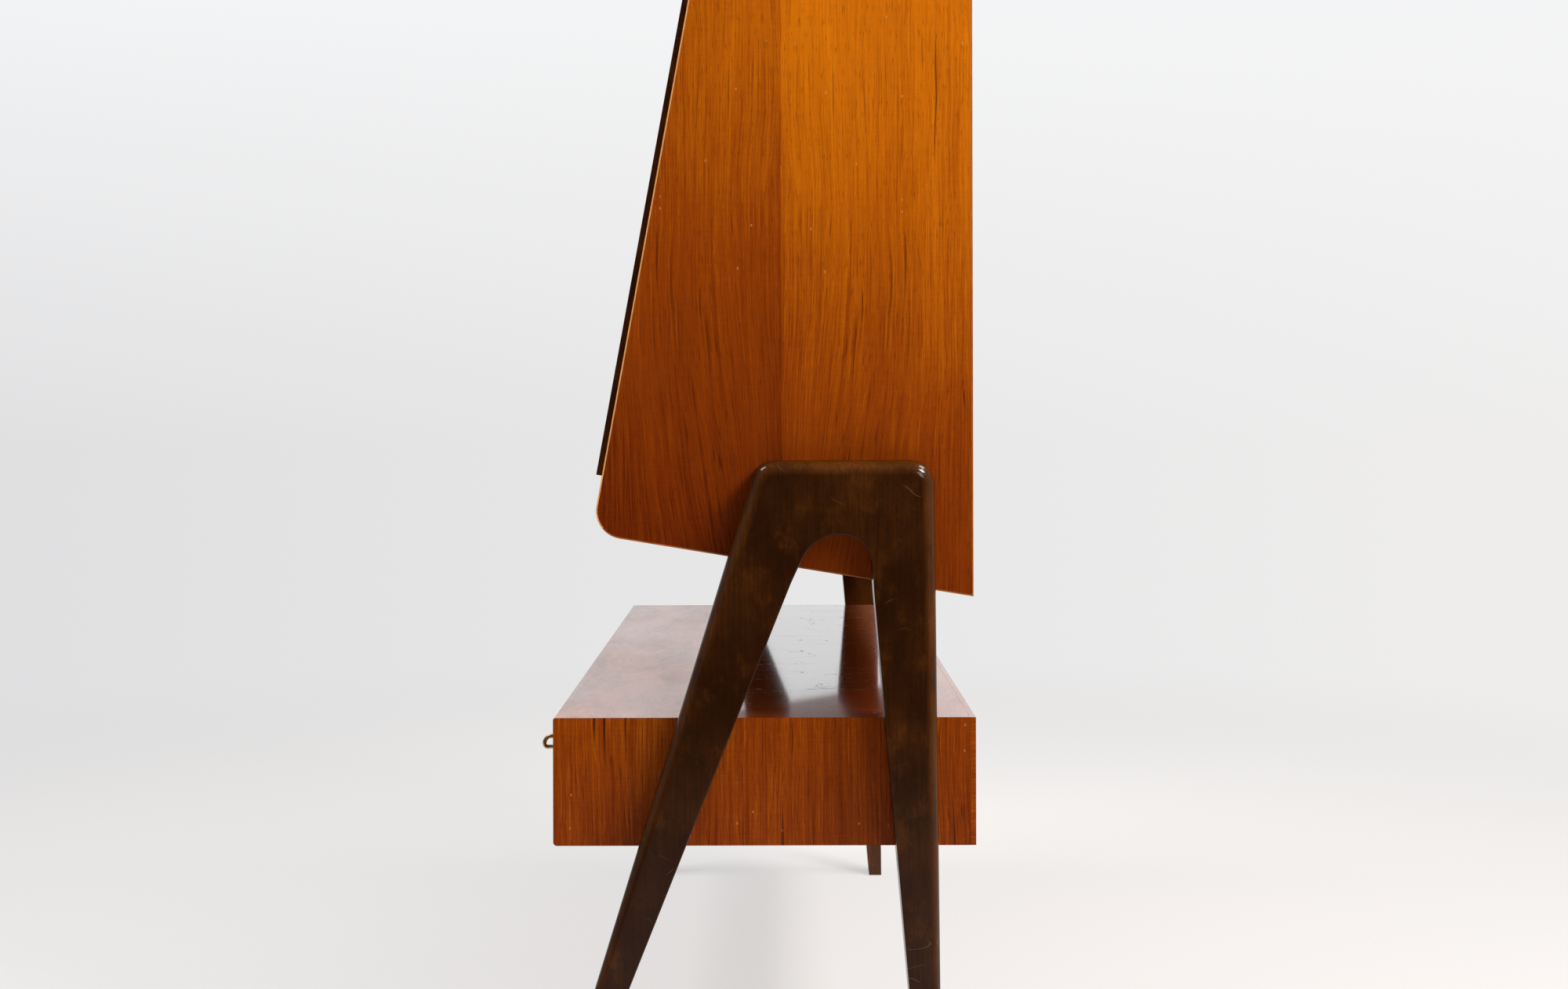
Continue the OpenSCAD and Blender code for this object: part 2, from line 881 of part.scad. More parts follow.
// A sheet that fills the rebate from in0 to in0 + t
module sheet_of_mirror(x, in0, t) {
  rim = frame_w - rebate;
  on_face() block([x + rim, in0, mirror_low + rim],
    [x + mirror_w - rim, in0 + t, mirror_low + mirror_l - rim]);
}

glass_front = glass_in - proud;
centre_x = -mirror_w / 2;
right_wing_x = mirror_w / 2 + hinge_gap;
left_wing_x = -right_wing_x - mirror_w;

module centre_mirror_frame() {
  color(dark_wood) frame_of_mirror(centre_x);
}

module centre_mirror_glass() {
  color(glass) sheet_of_mirror(centre_x, glass_front, glass_t);
}

module centre_mirror_backing() {
  color(inner_wood) sheet_of_mirror(centre_x, glass_front + glass_t, backing_t);
}

module left_wing_frame() {
  color(dark_wood) frame_of_mirror(left_wing_x);
}

module left_wing_glass() {
  color(glass) sheet_of_mirror(left_wing_x, glass_front, glass_t);
}

module left_wing_backing() {
  color(inner_wood) sheet_of_mirror(left_wing_x, glass_front + glass_t, backing_t);
}

module right_wing_frame() {
  color(dark_wood) frame_of_mirror(right_wing_x);
}

module right_wing_glass() {
  color(glass) sheet_of_mirror(right_wing_x, glass_front, glass_t);
}

module right_wing_backing() {
  color(inner_wood) sheet_of_mirror(right_wing_x, glass_front + glass_t, backing_t);
}

// ---- Hinges ----

// Each hinge has three knuckles: the outer two and the pin stay, the middle one turns
hinge_count = 3;
knuckle_l = hinge_l / 3;
knuckle_gap = 0.4;
leaf_back = leaf_w - hinge_out + barrel_d / 2;
hinge_places = [for (i = [0 : hinge_count - 1])
  mirror_low + mirror_l * (0.12 + 0.76 * i / (hinge_count - 1)) - hinge_l / 2];

// The barrel between two heights of a hinge
module barrel(z0, z1, r) {
  translate([hinge_x, -hinge_out, z0]) cylinder(r = r, h = z1 - z0);
}

// A leaf in the gap, on the middle mirror's edge (-1) or on the wing's edge (1)
module leaf(side, z0, z1, front) {
  edge = hinge_x + side * hinge_gap / 2;
  block([min(edge, edge - side * leaf_t), front, z0],
    [max(edge, edge - side * leaf_t), leaf_back, z1]);
}

module fixed_hinges() {
  on_face() for (z = hinge_places) translate([0, 0, z]) {
    leaf(-1, 0, hinge_l, -proud);
    barrel(0, hinge_l, hinge_pin_d / 2);
    for (k = [0, 2 * knuckle_l]) {
      barrel(k, k + knuckle_l, barrel_d / 2);
      leaf(-1, k, k + knuckle_l, -hinge_out);
    }
  }
}

module moving_hinges() {
  low = knuckle_l + knuckle_gap;
  high = 2 * knuckle_l - knuckle_gap;
  on_face() for (z = hinge_places) translate([0, 0, z]) difference() {
    union() {
      leaf(1, 0, hinge_l, -proud);
      leaf(1, low, high, -hinge_out);
      barrel(low, high, barrel_d / 2);
    }
    barrel(0, hinge_l, hinge_pin_d / 2 + play);
  }
}

module right_fixed_hinges() {
  color(brass) fixed_hinges();
}

module right_moving_hinges() {
  color(brass) moving_hinges();
}

module left_fixed_hinges() {
  color(brass) mirror([1, 0, 0]) fixed_hinges();
}

module left_moving_hinges() {
  color(brass) mirror([1, 0, 0]) moving_hinges();
}

left_leg_frame();
right_leg_frame();
frame_bolts();
chest_top();
chest_bottom();
chest_left_end();
chest_right_end();
chest_back();
chest_left_divider();
chest_right_divider();
drawer_runners();
drawer_stops();
left_drawer_front();
left_drawer_sides();
left_drawer_back();
left_drawer_bottom();
left_drawer_pull();
left_drawer_nuts();
centre_drawer_front();
centre_drawer_sides();
centre_drawer_back();
centre_drawer_bottom();
centre_drawer_pull();
centre_drawer_nuts();
right_drawer_front();
right_drawer_sides();
right_drawer_back();
right_drawer_bottom();
right_drawer_pull();
right_drawer_nuts();
cabinet_left_side();
cabinet_right_side();
cabinet_top();
cabinet_bottom();
cabinet_back();
cabinet_left_partition();
cabinet_right_partition();
cabinet_top_rail();
cabinet_bottom_rail();
left_shelves();
right_shelves();
shelf_pins();
wing_catches();
centre_mirror_frame();
centre_mirror_glass();
centre_mirror_backing();
left_wing_frame();
left_wing_glass();
left_wing_backing();
right_wing_frame();
right_wing_glass();
right_wing_backing();
left_fixed_hinges();
left_moving_hinges();
right_fixed_hinges();
right_moving_hinges();
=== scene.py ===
import json
import math

import bmesh
import bpy
from mathutils import Matrix, Vector


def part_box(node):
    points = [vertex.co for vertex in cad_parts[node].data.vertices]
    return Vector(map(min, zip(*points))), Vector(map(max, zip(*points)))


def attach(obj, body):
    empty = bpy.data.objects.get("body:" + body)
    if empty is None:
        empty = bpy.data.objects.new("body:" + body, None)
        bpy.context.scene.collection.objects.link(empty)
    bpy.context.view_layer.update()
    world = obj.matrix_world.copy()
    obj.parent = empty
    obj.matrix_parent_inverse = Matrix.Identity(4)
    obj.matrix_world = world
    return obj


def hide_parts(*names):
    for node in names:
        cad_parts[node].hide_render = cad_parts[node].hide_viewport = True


# ---------------------------------------------------------------- the fixed frame
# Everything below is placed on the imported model, in metres, with its feet on z = 0.
# The table's long side runs along X and its front faces -Y.
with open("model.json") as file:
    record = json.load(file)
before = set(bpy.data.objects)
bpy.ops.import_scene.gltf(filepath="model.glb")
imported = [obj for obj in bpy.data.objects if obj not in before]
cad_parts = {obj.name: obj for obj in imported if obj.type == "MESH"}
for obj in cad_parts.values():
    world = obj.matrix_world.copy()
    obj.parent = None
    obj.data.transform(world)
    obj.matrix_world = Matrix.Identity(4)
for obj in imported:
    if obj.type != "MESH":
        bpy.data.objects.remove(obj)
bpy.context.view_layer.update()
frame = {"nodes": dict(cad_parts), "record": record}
nodes = frame["nodes"]

# ---------------------------------------------------------------- camera
# The table is seen square on to its right-hand end, from desk height, a little from above.
# The camera is level, and its slightly long lens is shifted down to take in the floor.
eye = Vector((2.7477, 0.0314, 0.7821))
tilt = math.radians(0.133)


def add_object(name, data):
    made = bpy.data.objects.new(name, data)
    bpy.context.scene.collection.objects.link(made)
    return made


camera_data = bpy.data.cameras.new("end_view")
camera_data.sensor_width = 36.0
camera_data.lens = 46.37
camera_data.shift_x, camera_data.shift_y = 0.0046, -0.0580
camera_data.clip_start, camera_data.clip_end = 0.05, 60.0
camera = add_object("end_view", camera_data)
upright = Vector((-1, 0, 0)).to_track_quat("-Z", "Y").to_matrix()
camera.matrix_world = (
    Matrix.Translation(eye) @ upright.to_4x4() @ Matrix.Rotation(-tilt, 4, "Z")
)
bpy.context.scene.camera = camera
bpy.context.scene.view_settings.view_transform = "Standard"

# ---------------------------------------------------------------- studio floor and backdrop
# A pale paper floor that fades into a near-white room, greyer to the left and low down.
# The room shows its own colour to the eye and in gloss, with dimmer side walls and ceiling
# and an unlit end behind the camera for the polish and mirrors to pick up, and a plain fill.
fade_start, fade_end = 1.1, 3.6
fill_strength = 0.30
paper_glow = 0.60
floor_reach, floor_z = 9, -0.0006


class Field:
    """A value that varies from place to place: a node's output, reckoned with like a number."""

    def __init__(self, made, output=0):
        self.socket = made.outputs[output]

    def __add__(self, other):
        return maths("ADD", self, other)

    def __sub__(self, other):
        return maths("SUBTRACT", self, other)

    def __rsub__(self, other):
        return maths("SUBTRACT", other, self)

    def __mul__(self, other):
        return maths("MULTIPLY", self, other)

    def __abs__(self):
        return maths("ABSOLUTE", self)


def node(tree, kind, inputs=None, **settings):
    """Adds a node; its inputs are values, fields, or nodes that give their first output."""
    made = tree.nodes.new(kind)
    for key, value in settings.items():
        setattr(made, key, value)
    for key, value in (inputs or {}).items():
        if isinstance(value, bpy.types.Node):
            value = Field(value)
        if isinstance(value, Field):
            tree.links.new(value.socket, made.inputs[key])
        elif made.inputs[key].type == "RGBA":
            made.inputs[key].default_value = (*value, 1.0)
        else:
            made.inputs[key].default_value = value
    return made


def tree_of(*values):
    """The node tree that the first field among the values belongs to."""
    return next(value.socket.id_data for value in values if isinstance(value, Field))


def maths(operation, a, b=0.0, c=0.0, clamp=False):
    return Field(node(
        tree_of(a, b, c), "ShaderNodeMath", {0: a, 1: b, 2: c},
        operation=operation, use_clamp=clamp,
    ))


def most(a, b):
    return maths("MAXIMUM", a, b)


def lay_over(colour, *layers):
    """Lays (cover, colour) pairs over a colour, one after the other."""
    for cover, tint in layers:
        colour = Field(node(
            tree_of(cover), "ShaderNodeMix", {0: cover, 6: colour, 7: tint},
            data_type="RGBA", clamp_factor=True,
        ), 2)
    return colour


def spread(value, low, high, to_low=0.0, to_high=1.0, smooth=False):
    """Maps low..high on to to_low..to_high, held at both ends."""
    return Field(node(
        tree_of(value), "ShaderNodeMapRange",
        {0: value, 1: low, 2: high, 3: to_low, 4: to_high},
        interpolation_type="SMOOTHSTEP" if smooth else "LINEAR",
    ))


def axes(place):
    """The three parts of a position, by name."""
    split = node(tree_of(place), "ShaderNodeSeparateXYZ", {0: place})
    return {axis: Field(split, axis) for axis in "XYZ"}


def ray_kinds(tree):
    """1 for the camera's rays, for gloss, and for all that may see the room itself."""
    path = node(tree, "ShaderNodeLightPath")
    to_camera, in_gloss = Field(path, "Is Camera Ray"), Field(path, "Is Glossy Ray")
    return to_camera, in_gloss, most(most(to_camera, in_gloss), Field(path, "Is Transmission Ray"))


room = bpy.data.worlds.new("pale_room")
room.use_nodes = True
sky = room.node_tree
sky.nodes.clear()
way = axes(Field(node(sky, "ShaderNodeTexCoord"), "Generated"))
to_camera, _, shown = ray_kinds(sky)
out_of_sight = 1.0 - to_camera
side_wall = lay_over(
    (0.360, 0.335, 0.300),
    (spread(way["Z"], -0.10, 0.62, smooth=True), (0.185, 0.183, 0.185)),
)
sideways = out_of_sight * spread(abs(way["Y"]), 0.40, 0.95, smooth=True)
ceiling = spread(way["Z"], 0.22, 0.85, smooth=True) * out_of_sight
dark_end = spread(way["X"], 0.40, 0.80, smooth=True) * out_of_sight
walls = lay_over(
    (0.745, 0.745, 0.755),
    (spread(way["Y"], -0.36, 0.36), (0.860, 0.850, 0.845)),
    (spread(way["Z"], -0.02, 0.22), (0.915, 0.920, 0.930)),
    (sideways, side_wall),
    (ceiling, (0.230, 0.225, 0.220)),
    (dark_end, (0.030, 0.028, 0.027)),
)
room_mix = node(sky, "ShaderNodeMixShader", {
    0: shown,
    1: node(sky, "ShaderNodeBackground", {0: (1.0, 0.99, 0.975), 1: fill_strength}),
    2: node(sky, "ShaderNodeBackground", {0: walls, 1: 1.0}),
})
node(sky, "ShaderNodeOutputWorld", {0: room_mix})
bpy.context.scene.world = room

floor_mesh = bpy.data.meshes.new("studio_floor")
floor_mesh.from_pydata(
    [(floor_reach * x, floor_reach * y, floor_z) for x, y in ((-1, -1), (1, -1), (1, 1), (-1, 1))],
    [], [(0, 1, 2, 3)],
)
add_object("studio_floor", floor_mesh)

paper = bpy.data.materials.new("floor_paper")
paper.use_nodes = True
tree = paper.node_tree
tree.nodes.clear()
spot = Field(node(tree, "ShaderNodeTexCoord"), "Object")
to_camera, in_gloss, shown = ray_kinds(tree)
distance = Field(node(tree, "ShaderNodeVectorMath", {0: spot}, operation="LENGTH"), "Value")
far = spread(distance, fade_start, fade_end, smooth=True)
grit = node(tree, "ShaderNodeTexNoise", {"Vector": spot, "Scale": 140.0, "Detail": 3.0})
# Seen in gloss, the paper towards the camera is painted dark: painted shade for the unlit floor
# that the polish picks up.
lit_side = spread(axes(spot)["X"], 0.62, 1.10, 1.0, 0.12)
glow = most(to_camera, shown * lit_side)
unlit = in_gloss * (1.0 - lit_side)
paper_tone = lay_over(
    (0.700, 0.672, 0.660),
    (Field(grit), (0.740, 0.712, 0.700)),
    (unlit * 0.75, (0.120, 0.095, 0.080)),
)
lit_paper = node(tree, "ShaderNodeMixShader", {
    0: glow * paper_glow,
    1: node(tree, "ShaderNodeBsdfDiffuse", {"Color": paper_tone}),
    2: node(tree, "ShaderNodeEmission", {0: (0.930, 0.922, 0.915), 1: 1.0}),
})
floor_mix = node(tree, "ShaderNodeMixShader", {
    0: far * shown, 1: lit_paper, 2: node(tree, "ShaderNodeBsdfTransparent"),
})
node(tree, "ShaderNodeOutputMaterial", {0: floor_mix})
floor_mesh.materials.append(paper)

# The main softbox stands high on the right, a small one beside the camera, and one hangs
# over each long side of the table, level with its middle.
softboxes = (
    ("main", (1.65, 2.00, 2.75), (0.45, 0.05, 0.95), (1.0, 0.75), 96.0, (1.0, 0.965, 0.92)),
    ("camera", (3.10, 1.60, 1.95), (0.60, 0.05, 0.80), (0.9, 0.9), 20.0, (1.0, 0.98, 0.95)),
    ("front", (0.02, -1.55, 2.90), (0.10, -0.05, 0.80), (1.4, 0.8), 58.0, (0.98, 0.99, 1.0)),
    ("rear", (0.02, 1.70, 2.90), (0.10, 0.10, 0.80), (1.2, 0.7), 42.0, (1.0, 0.98, 0.96)),
)
for name, place, aim, sides, power, tone in softboxes:
    lamp = bpy.data.lights.new(name + "_softbox", "AREA")
    lamp.shape = "RECTANGLE"
    lamp.size, lamp.size_y = sides
    lamp.energy, lamp.color = power, tone
    facing = (Vector(aim) - Vector(place)).to_track_quat("-Z", "Y")
    softbox = add_object(name + "_softbox", lamp)
    softbox.matrix_world = Matrix.Translation(place) @ facing.to_matrix().to_4x4()


# ---------------------------------------------------------------- compass leg frames
# Each end stands on one solid board sawn to a compass: a broad head, an arch, and two legs
# that taper to small feet. Its outer face is rounded over deeply at the head and less at
# the feet, then stained nearly black-brown and polished. Its rounding is painted amber,
# partly as wear on the edges and partly as a painted highlight, most of all at the head.
table_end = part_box("chest_right_end")[1].x
leg_face, _, stand_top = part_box("right_leg_frame")[1]
toe, heel = -0.2131, 0.2028
head_front, head_rear = 0.0107, 0.1966
foot_front_w, foot_rear_w = 0.0205, 0.0200
head_corner_front, head_corner_rear = 0.024, 0.025
arch_y, arch_z, arch_r = 0.092, 0.6065, 0.0385
arch_lean, lean_from = 1.6, 0.5880
round_head, round_foot, full_round_from = 0.0150, 0.0065, 0.05
arch_ease, back_ease = 0.0016, 0.0010
back_steps, face_steps = 3, 9
rear_steps, head_steps, front_steps = 26, 8, 28
gap_steps, corner_steps, arch_steps = 24, 14, 44


def quarter_turns(steps):
    return [math.pi / 2 * k / steps for k in range(steps + 1)]


def lay_line(a, b, steps):
    return [
        (a[0] + (b[0] - a[0]) * i / steps, a[1] + (b[1] - a[1]) * i / steps)
        for i in range(1, steps + 1)
    ]


def lay_arc(centre, radius, start, end, steps):
    return [
        (centre[0] + radius * math.cos(start + (end - start) * i / steps),
         centre[1] + radius * math.sin(start + (end - start) * i / steps))
        for i in range(steps + 1)
    ]


def round_corner(before, corner, after, radius):
    """Points of the arc that rounds one corner, in walking order."""
    a = (Vector(before) - Vector(corner)).normalized()
    b = (Vector(after) - Vector(corner)).normalized()
    half = a.angle(b) / 2
    centre = Vector(corner) + (a + b).normalized() * radius / math.sin(half)
    first = Vector(corner) + a * radius / math.tan(half) - centre
    last = Vector(corner) + b * radius / math.tan(half) - centre
    start = math.atan2(first.y, first.x)
    return lay_arc(centre, radius, start, start - first.angle_signed(last), corner_steps)


def tangent_point(point, side):
    """Where a line from a foot's inner corner touches the arch circle."""
    away = Vector(point) - Vector((arch_y, arch_z))
    angle = math.atan2(away.y, away.x) + math.acos(arch_r / away.length) * side
    return (arch_y + arch_r * math.cos(angle), arch_z + arch_r * math.sin(angle)), angle


def leg_outline():
    """The compass outline as (y, z, rounding radius, is it a foot's end)."""
    front_out, front_in = (toe, 0.0), (toe + foot_front_w, 0.0)
    rear_in, rear_out = (heel - foot_rear_w, 0.0), (heel, 0.0)
    head_a, head_b = (head_front, stand_top), (head_rear, stand_top)
    front_touch, front_angle = tangent_point(front_in, -1)
    rear_touch, rear_angle = tangent_point(rear_in, 1)
    corner_b = round_corner(rear_out, head_b, head_a, head_corner_rear)
    corner_a = round_corner(head_b, head_a, front_out, head_corner_front)
    outside = [rear_out] + lay_line(rear_out, corner_b[0], rear_steps)[:-1] + corner_b
    outside += lay_line(corner_b[-1], corner_a[0], head_steps)[:-1] + corner_a
    outside += lay_line(corner_a[-1], front_out, front_steps)
    if front_angle < 0:
        front_angle += 2 * math.pi
    gap = [front_in] + lay_line(front_in, front_touch, gap_steps)[:-1]
    gap += lay_arc((arch_y, arch_z), arch_r, front_angle, rear_angle, arch_steps)
    gap += lay_line(rear_touch, rear_in, gap_steps)
    gap = [(y + arch_lean * max(0.0, z - lean_from) ** 2, z) for y, z in gap]
    rows = []
    for y, z in outside:
        share = min(1.0, max(0.0, z) / (stand_top - full_round_from)) ** 0.8
        rows.append((y, max(0.0, z), round_foot + (round_head - round_foot) * share, z < 1e-6))
    return rows + [(y, max(0.0, z), arch_ease, z < 1e-6) for y, z in gap]


def inward_steps(rows):
    """For each outline point, the step that moves its two edges in by one metre."""
    inward = []
    for i, (y, z, _, at_foot) in enumerate(rows):
        before, after = Vector(rows[i - 1][:2]), Vector(rows[(i + 1) % len(rows)][:2])
        here = Vector((y, z))
        if at_foot:
            along = (after - here) if abs(after.y) > 1e-9 else (here - before)
            along.normalize()
            inward.append(Vector((-1.0 / along.y, 0.0)))
        else:
            a, b = (here - before).normalized(), (after - here).normalized()
            na, nb = Vector((-a.y, a.x)), Vector((-b.y, b.x))
            both = (na + nb).normalized()
            inward.append(both / max(0.5, both.dot(na)))
    return inward


def add_piece(name, mesh, *finishes):
    """Puts a mesh, or a finished bmesh, in the scene where it was modelled."""
    if isinstance(mesh, bmesh.types.BMesh):
        shape, mesh = mesh, bpy.data.meshes.new(name)
        shape.to_mesh(mesh)
        shape.free()
    for finish in finishes:
        mesh.materials.append(finish)
    return add_object(name, mesh)


def loft(bm, rings):
    """A smooth skin over rings of vertices, with a cap at each end."""
    for low, high in zip(rings, rings[1:]):
        for i in range(len(low)):
            j = (i + 1) % len(low)
            bm.faces.new((low[i], low[j], high[j], high[i])).smooth = True
    caps = bm.faces.new(rings[0]), bm.faces.new(list(reversed(rings[-1])))
    bmesh.ops.recalc_face_normals(bm, faces=bm.faces)
    return caps


def even_shading(piece, weight=50):
    even = piece.modifiers.new("even_shading", "WEIGHTED_NORMAL")
    even.keep_sharp, even.weight = True, weight


def build_leg_frame(name, hand, *finishes):
    """hand is +1 for the right-hand frame and -1 for the left."""
    rows = leg_outline()
    inward = inward_steps(rows)

    def ring(x_from, way, radii, turn):
        return [
            (x_from - way * radius * (1 - math.sin(turn)),
             Vector(row[:2]) + step * radius * (1 - math.cos(turn)))
            for row, step, radius in zip(rows, inward, radii)
        ]

    back, face = reversed(quarter_turns(back_steps)), quarter_turns(face_steps)
    rings = [ring(table_end, -1, [back_ease] * len(rows), turn) for turn in back]
    # The edge band peaks half-way round the rounding and grows towards the head: partly wear on
    # the edges, partly a painted highlight where light from above catches them.
    rubs = [0.0] * len(rings) + [math.sin(2 * turn) ** 0.8 for turn in face]
    rings += [ring(leg_face, 1, [row[2] for row in rows], turn) for turn in face]
    bm = bmesh.new()
    wear_and_highlight_layer = bm.verts.layers.float.new("edge_wear_and_highlight")
    loops = []
    for points, rub in zip(rings, rubs):
        loops.append([bm.verts.new((hand * x, p.x, p.y)) for x, p in points])
        for vert, row in zip(loops[-1], rows):
            outside = row[2] > arch_ease
            vert[wear_and_highlight_layer] = rub * (0.35 + 0.65 * min(1.0, row[1] / stand_top)) * outside
    for cap in loft(bm, loops):
        cap.smooth = True
    for face in bm.faces:
        face.material_index = int(hand * face.normal.x < -0.9)
    piece = add_piece(name, bm, *finishes)
    even_shading(piece, 100)
    return piece


def new_finish(name, **shader_values):
    """A material with its Principled shader and the object-space position."""
    finish = bpy.data.materials.new(name)
    finish.use_nodes = True
    shader = finish.node_tree.nodes["Principled BSDF"]
    for key, value in shader_values.items():
        shader.inputs[key.replace("_", " ")].default_value = value
    return finish, shader, Field(node(finish.node_tree, "ShaderNodeTexCoord"), "Object")


def feed(shader, **fields):
    for key, field in fields.items():
        field.socket.id_data.links.new(field.socket, shader.inputs[key.replace("_", " ")])


def scaled(place, scale, shift=(0, 0, 0)):
    return Field(node(
        tree_of(place), "ShaderNodeMapping", {"Vector": place, "Location": shift, "Scale": scale}
    ))


def noise(place, scale, stretch=(1, 1, 1), shift=(0, 0, 0), detail=3.0, rough=0.5, warp=0.0):
    """Noise of about `scale` features a metre, slower along an axis whose stretch is small."""
    return Field(node(tree_of(place), "ShaderNodeTexNoise", {
        "Vector": scaled(place, stretch, shift), "Scale": scale, "Detail": detail,
        "Roughness": rough, "Distortion": warp,
    }))


def raise_grain(shader, height, strength, distance):
    feed(shader, Normal=Field(node(tree_of(height), "ShaderNodeBump", {
        "Height": height, "Strength": strength, "Distance": distance,
    })))


def stained_wood(name, grain_axis="Z", shift=(0, 0, 0), depth=1.0):
    """Dark brown stain under worn polish: amber rubs, fine pores, pale nicks and hairlines,
    and an amber band on the rounded edges, partly wear and partly a painted highlight.

    The stain is divided by depth: 1 on faces in plain light, less on faces that stand in
    shade, whose colour is painted lighter as a painted light.
    """
    finish, shader, place = new_finish(
        name, Coat_Weight=0.45, Coat_Roughness=0.08, Coat_IOR=1.5, Specular_IOR_Level=0.04,
    )
    edge_wear_and_highlight = Field(
        node(finish.node_tree, "ShaderNodeAttribute", attribute_name="edge_wear_and_highlight"), "Fac"
    )

    # Dividing by depth lifts the tones: painted light for faces in shade.
    def stain(*tone):
        return [part / depth for part in tone]

    def along_grain(slow):
        return [slow if axis == grain_axis else 1 for axis in "XYZ"]

    cloud = spread(noise(place, 12.0, (1, 1, 0.8), shift, 5.0, 0.6), 0.32, 0.72, smooth=True)
    rub = spread(noise(place, 27.0, (1, 1, 0.75), shift, 6.0, 0.66), 0.50, 0.82, smooth=True)
    lines = spread(noise(place, 330.0, along_grain(0.05), shift, 3.0), 0.35, 0.68)
    pores = spread(noise(place, 900.0, along_grain(0.16), shift, 2.0), 0.60, 0.72)
    # Amber on the rounded edges: partly real wear, partly a painted highlight.
    edge = edge_wear_and_highlight * spread(
        noise(place, 22.0, (1, 1, 0.6), shift, 4.0, 0.6), 0.30, 0.66, 0.10, 0.85
    )

    nick_cells = node(finish.node_tree, "ShaderNodeTexVoronoi", {
        "Vector": scaled(place, (1, 1, 0.55)), "Scale": 52.0, "Randomness": 1.0,
    })
    cell_pick = Field(
        node(finish.node_tree, "ShaderNodeSeparateColor", {0: Field(nick_cells, "Color")})
    )
    rare = spread(maths("MULTIPLY_ADD", edge_wear_and_highlight, 0.16, cell_pick), 0.90, 0.92)
    nicks = rare * spread(Field(nick_cells, "Distance"), 0.03, 0.10, 1.0, 0.0)
    hair = noise(place, 26.0, (1, 0.5, 1), (3.1, 0, 0), 1.0, 0.4, 0.6)
    hairline = spread(hair, 0.500, 0.505) * spread(hair, 0.505, 0.510, 1, 0)
    seldom = spread(noise(place, 21.0, shift=(7.7, 2.0, 0), detail=1.0), 0.60, 0.66)
    worn = maths("MAXIMUM", nicks, hairline * seldom * 0.6, clamp=True)

    tone = lay_over(
        stain(0.0215, 0.0052, 0.0004),
        (cloud, stain(0.0500, 0.0135, 0.0008)),
        (most(rub * 0.75, edge), stain(0.1150, 0.0310, 0.0018)),
        (lines * 0.45, stain(0.0115, 0.0034, 0.0004)),
        (pores * 0.6, stain(0.0050, 0.0016, 0.0003)),
        (worn * 0.7, (0.22, 0.125, 0.055)),
    )
    feed(shader, Base_Color=tone, Roughness=spread(cloud, 0, 1, 0.34, 0.46) + worn * 0.2)
    raise_grain(shader, lines * -0.35 - pores - worn * 0.8, 0.16, 0.0003)
    return finish


leg_stain = stained_wood("leg_stain")
# The faces towards the chest take a lighter copy of the stain, painted light for the shade they
# stand in.
leg_inner_stain_painted_lighter = stained_wood("leg_inner_stain_painted_lighter", shift=(0, 0.8, 0.3), depth=0.55)
for side, hand in (("right", 1), ("left", -1)):
    legs = build_leg_frame(side + "_compass_legs", hand, leg_stain, leg_inner_stain_painted_lighter)
    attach(legs, "table")
    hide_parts(side + "_leg_frame")


# ---------------------------------------------------------------- chest boards
# A shallow open-fronted box of veneered boards, mitred at the corners and hung between the
# two leg frames. The veneer is a red-gold hardwood under old polish: fine straight stripes,
# short dark pores, and a thin dark line where each face meets its edge, partly the joint
# itself and partly painted shade on the eased edge.
veneer_shade = (0.100, 0.0110, 0.0008, 1)
veneer_mid, mid_at = (0.255, 0.0430, 0.0010, 1), 0.46
veneer_light = (0.590, 0.1540, 0.0016, 1)
handled_w = 0.028
chest_low, chest_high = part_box("chest_bottom")[0].z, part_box("chest_top")[1].z
back_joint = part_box("chest_back")[0].y
same_point, near = 1e-6, 1e-4
flat_turn, sharp_turn = math.radians(0.6), math.radians(35)
lip_front_to, joint_ease = 0.15, 0.2


def board_axes(place, grain, shift):
    """Fields across, along and through a board; grain names those three axes in order."""
    moved = node(tree_of(place), "ShaderNodeVectorMath", {0: place, 1: shift}, operation="ADD")
    split = axes(Field(moved))
    return [split[axis] for axis in grain]


def board_noise(u, v, w, detail=2.0, rough=0.5):
    """Noise over a board's own axes, each scaled before to its features a metre."""
    tree = tree_of(u)
    return Field(node(tree, "ShaderNodeTexNoise", {
        "Vector": node(tree, "ShaderNodeCombineXYZ", {0: u, 1: v, 2: w}),
        "Scale": 1.0, "Detail": detail, "Roughness": rough,
    }))


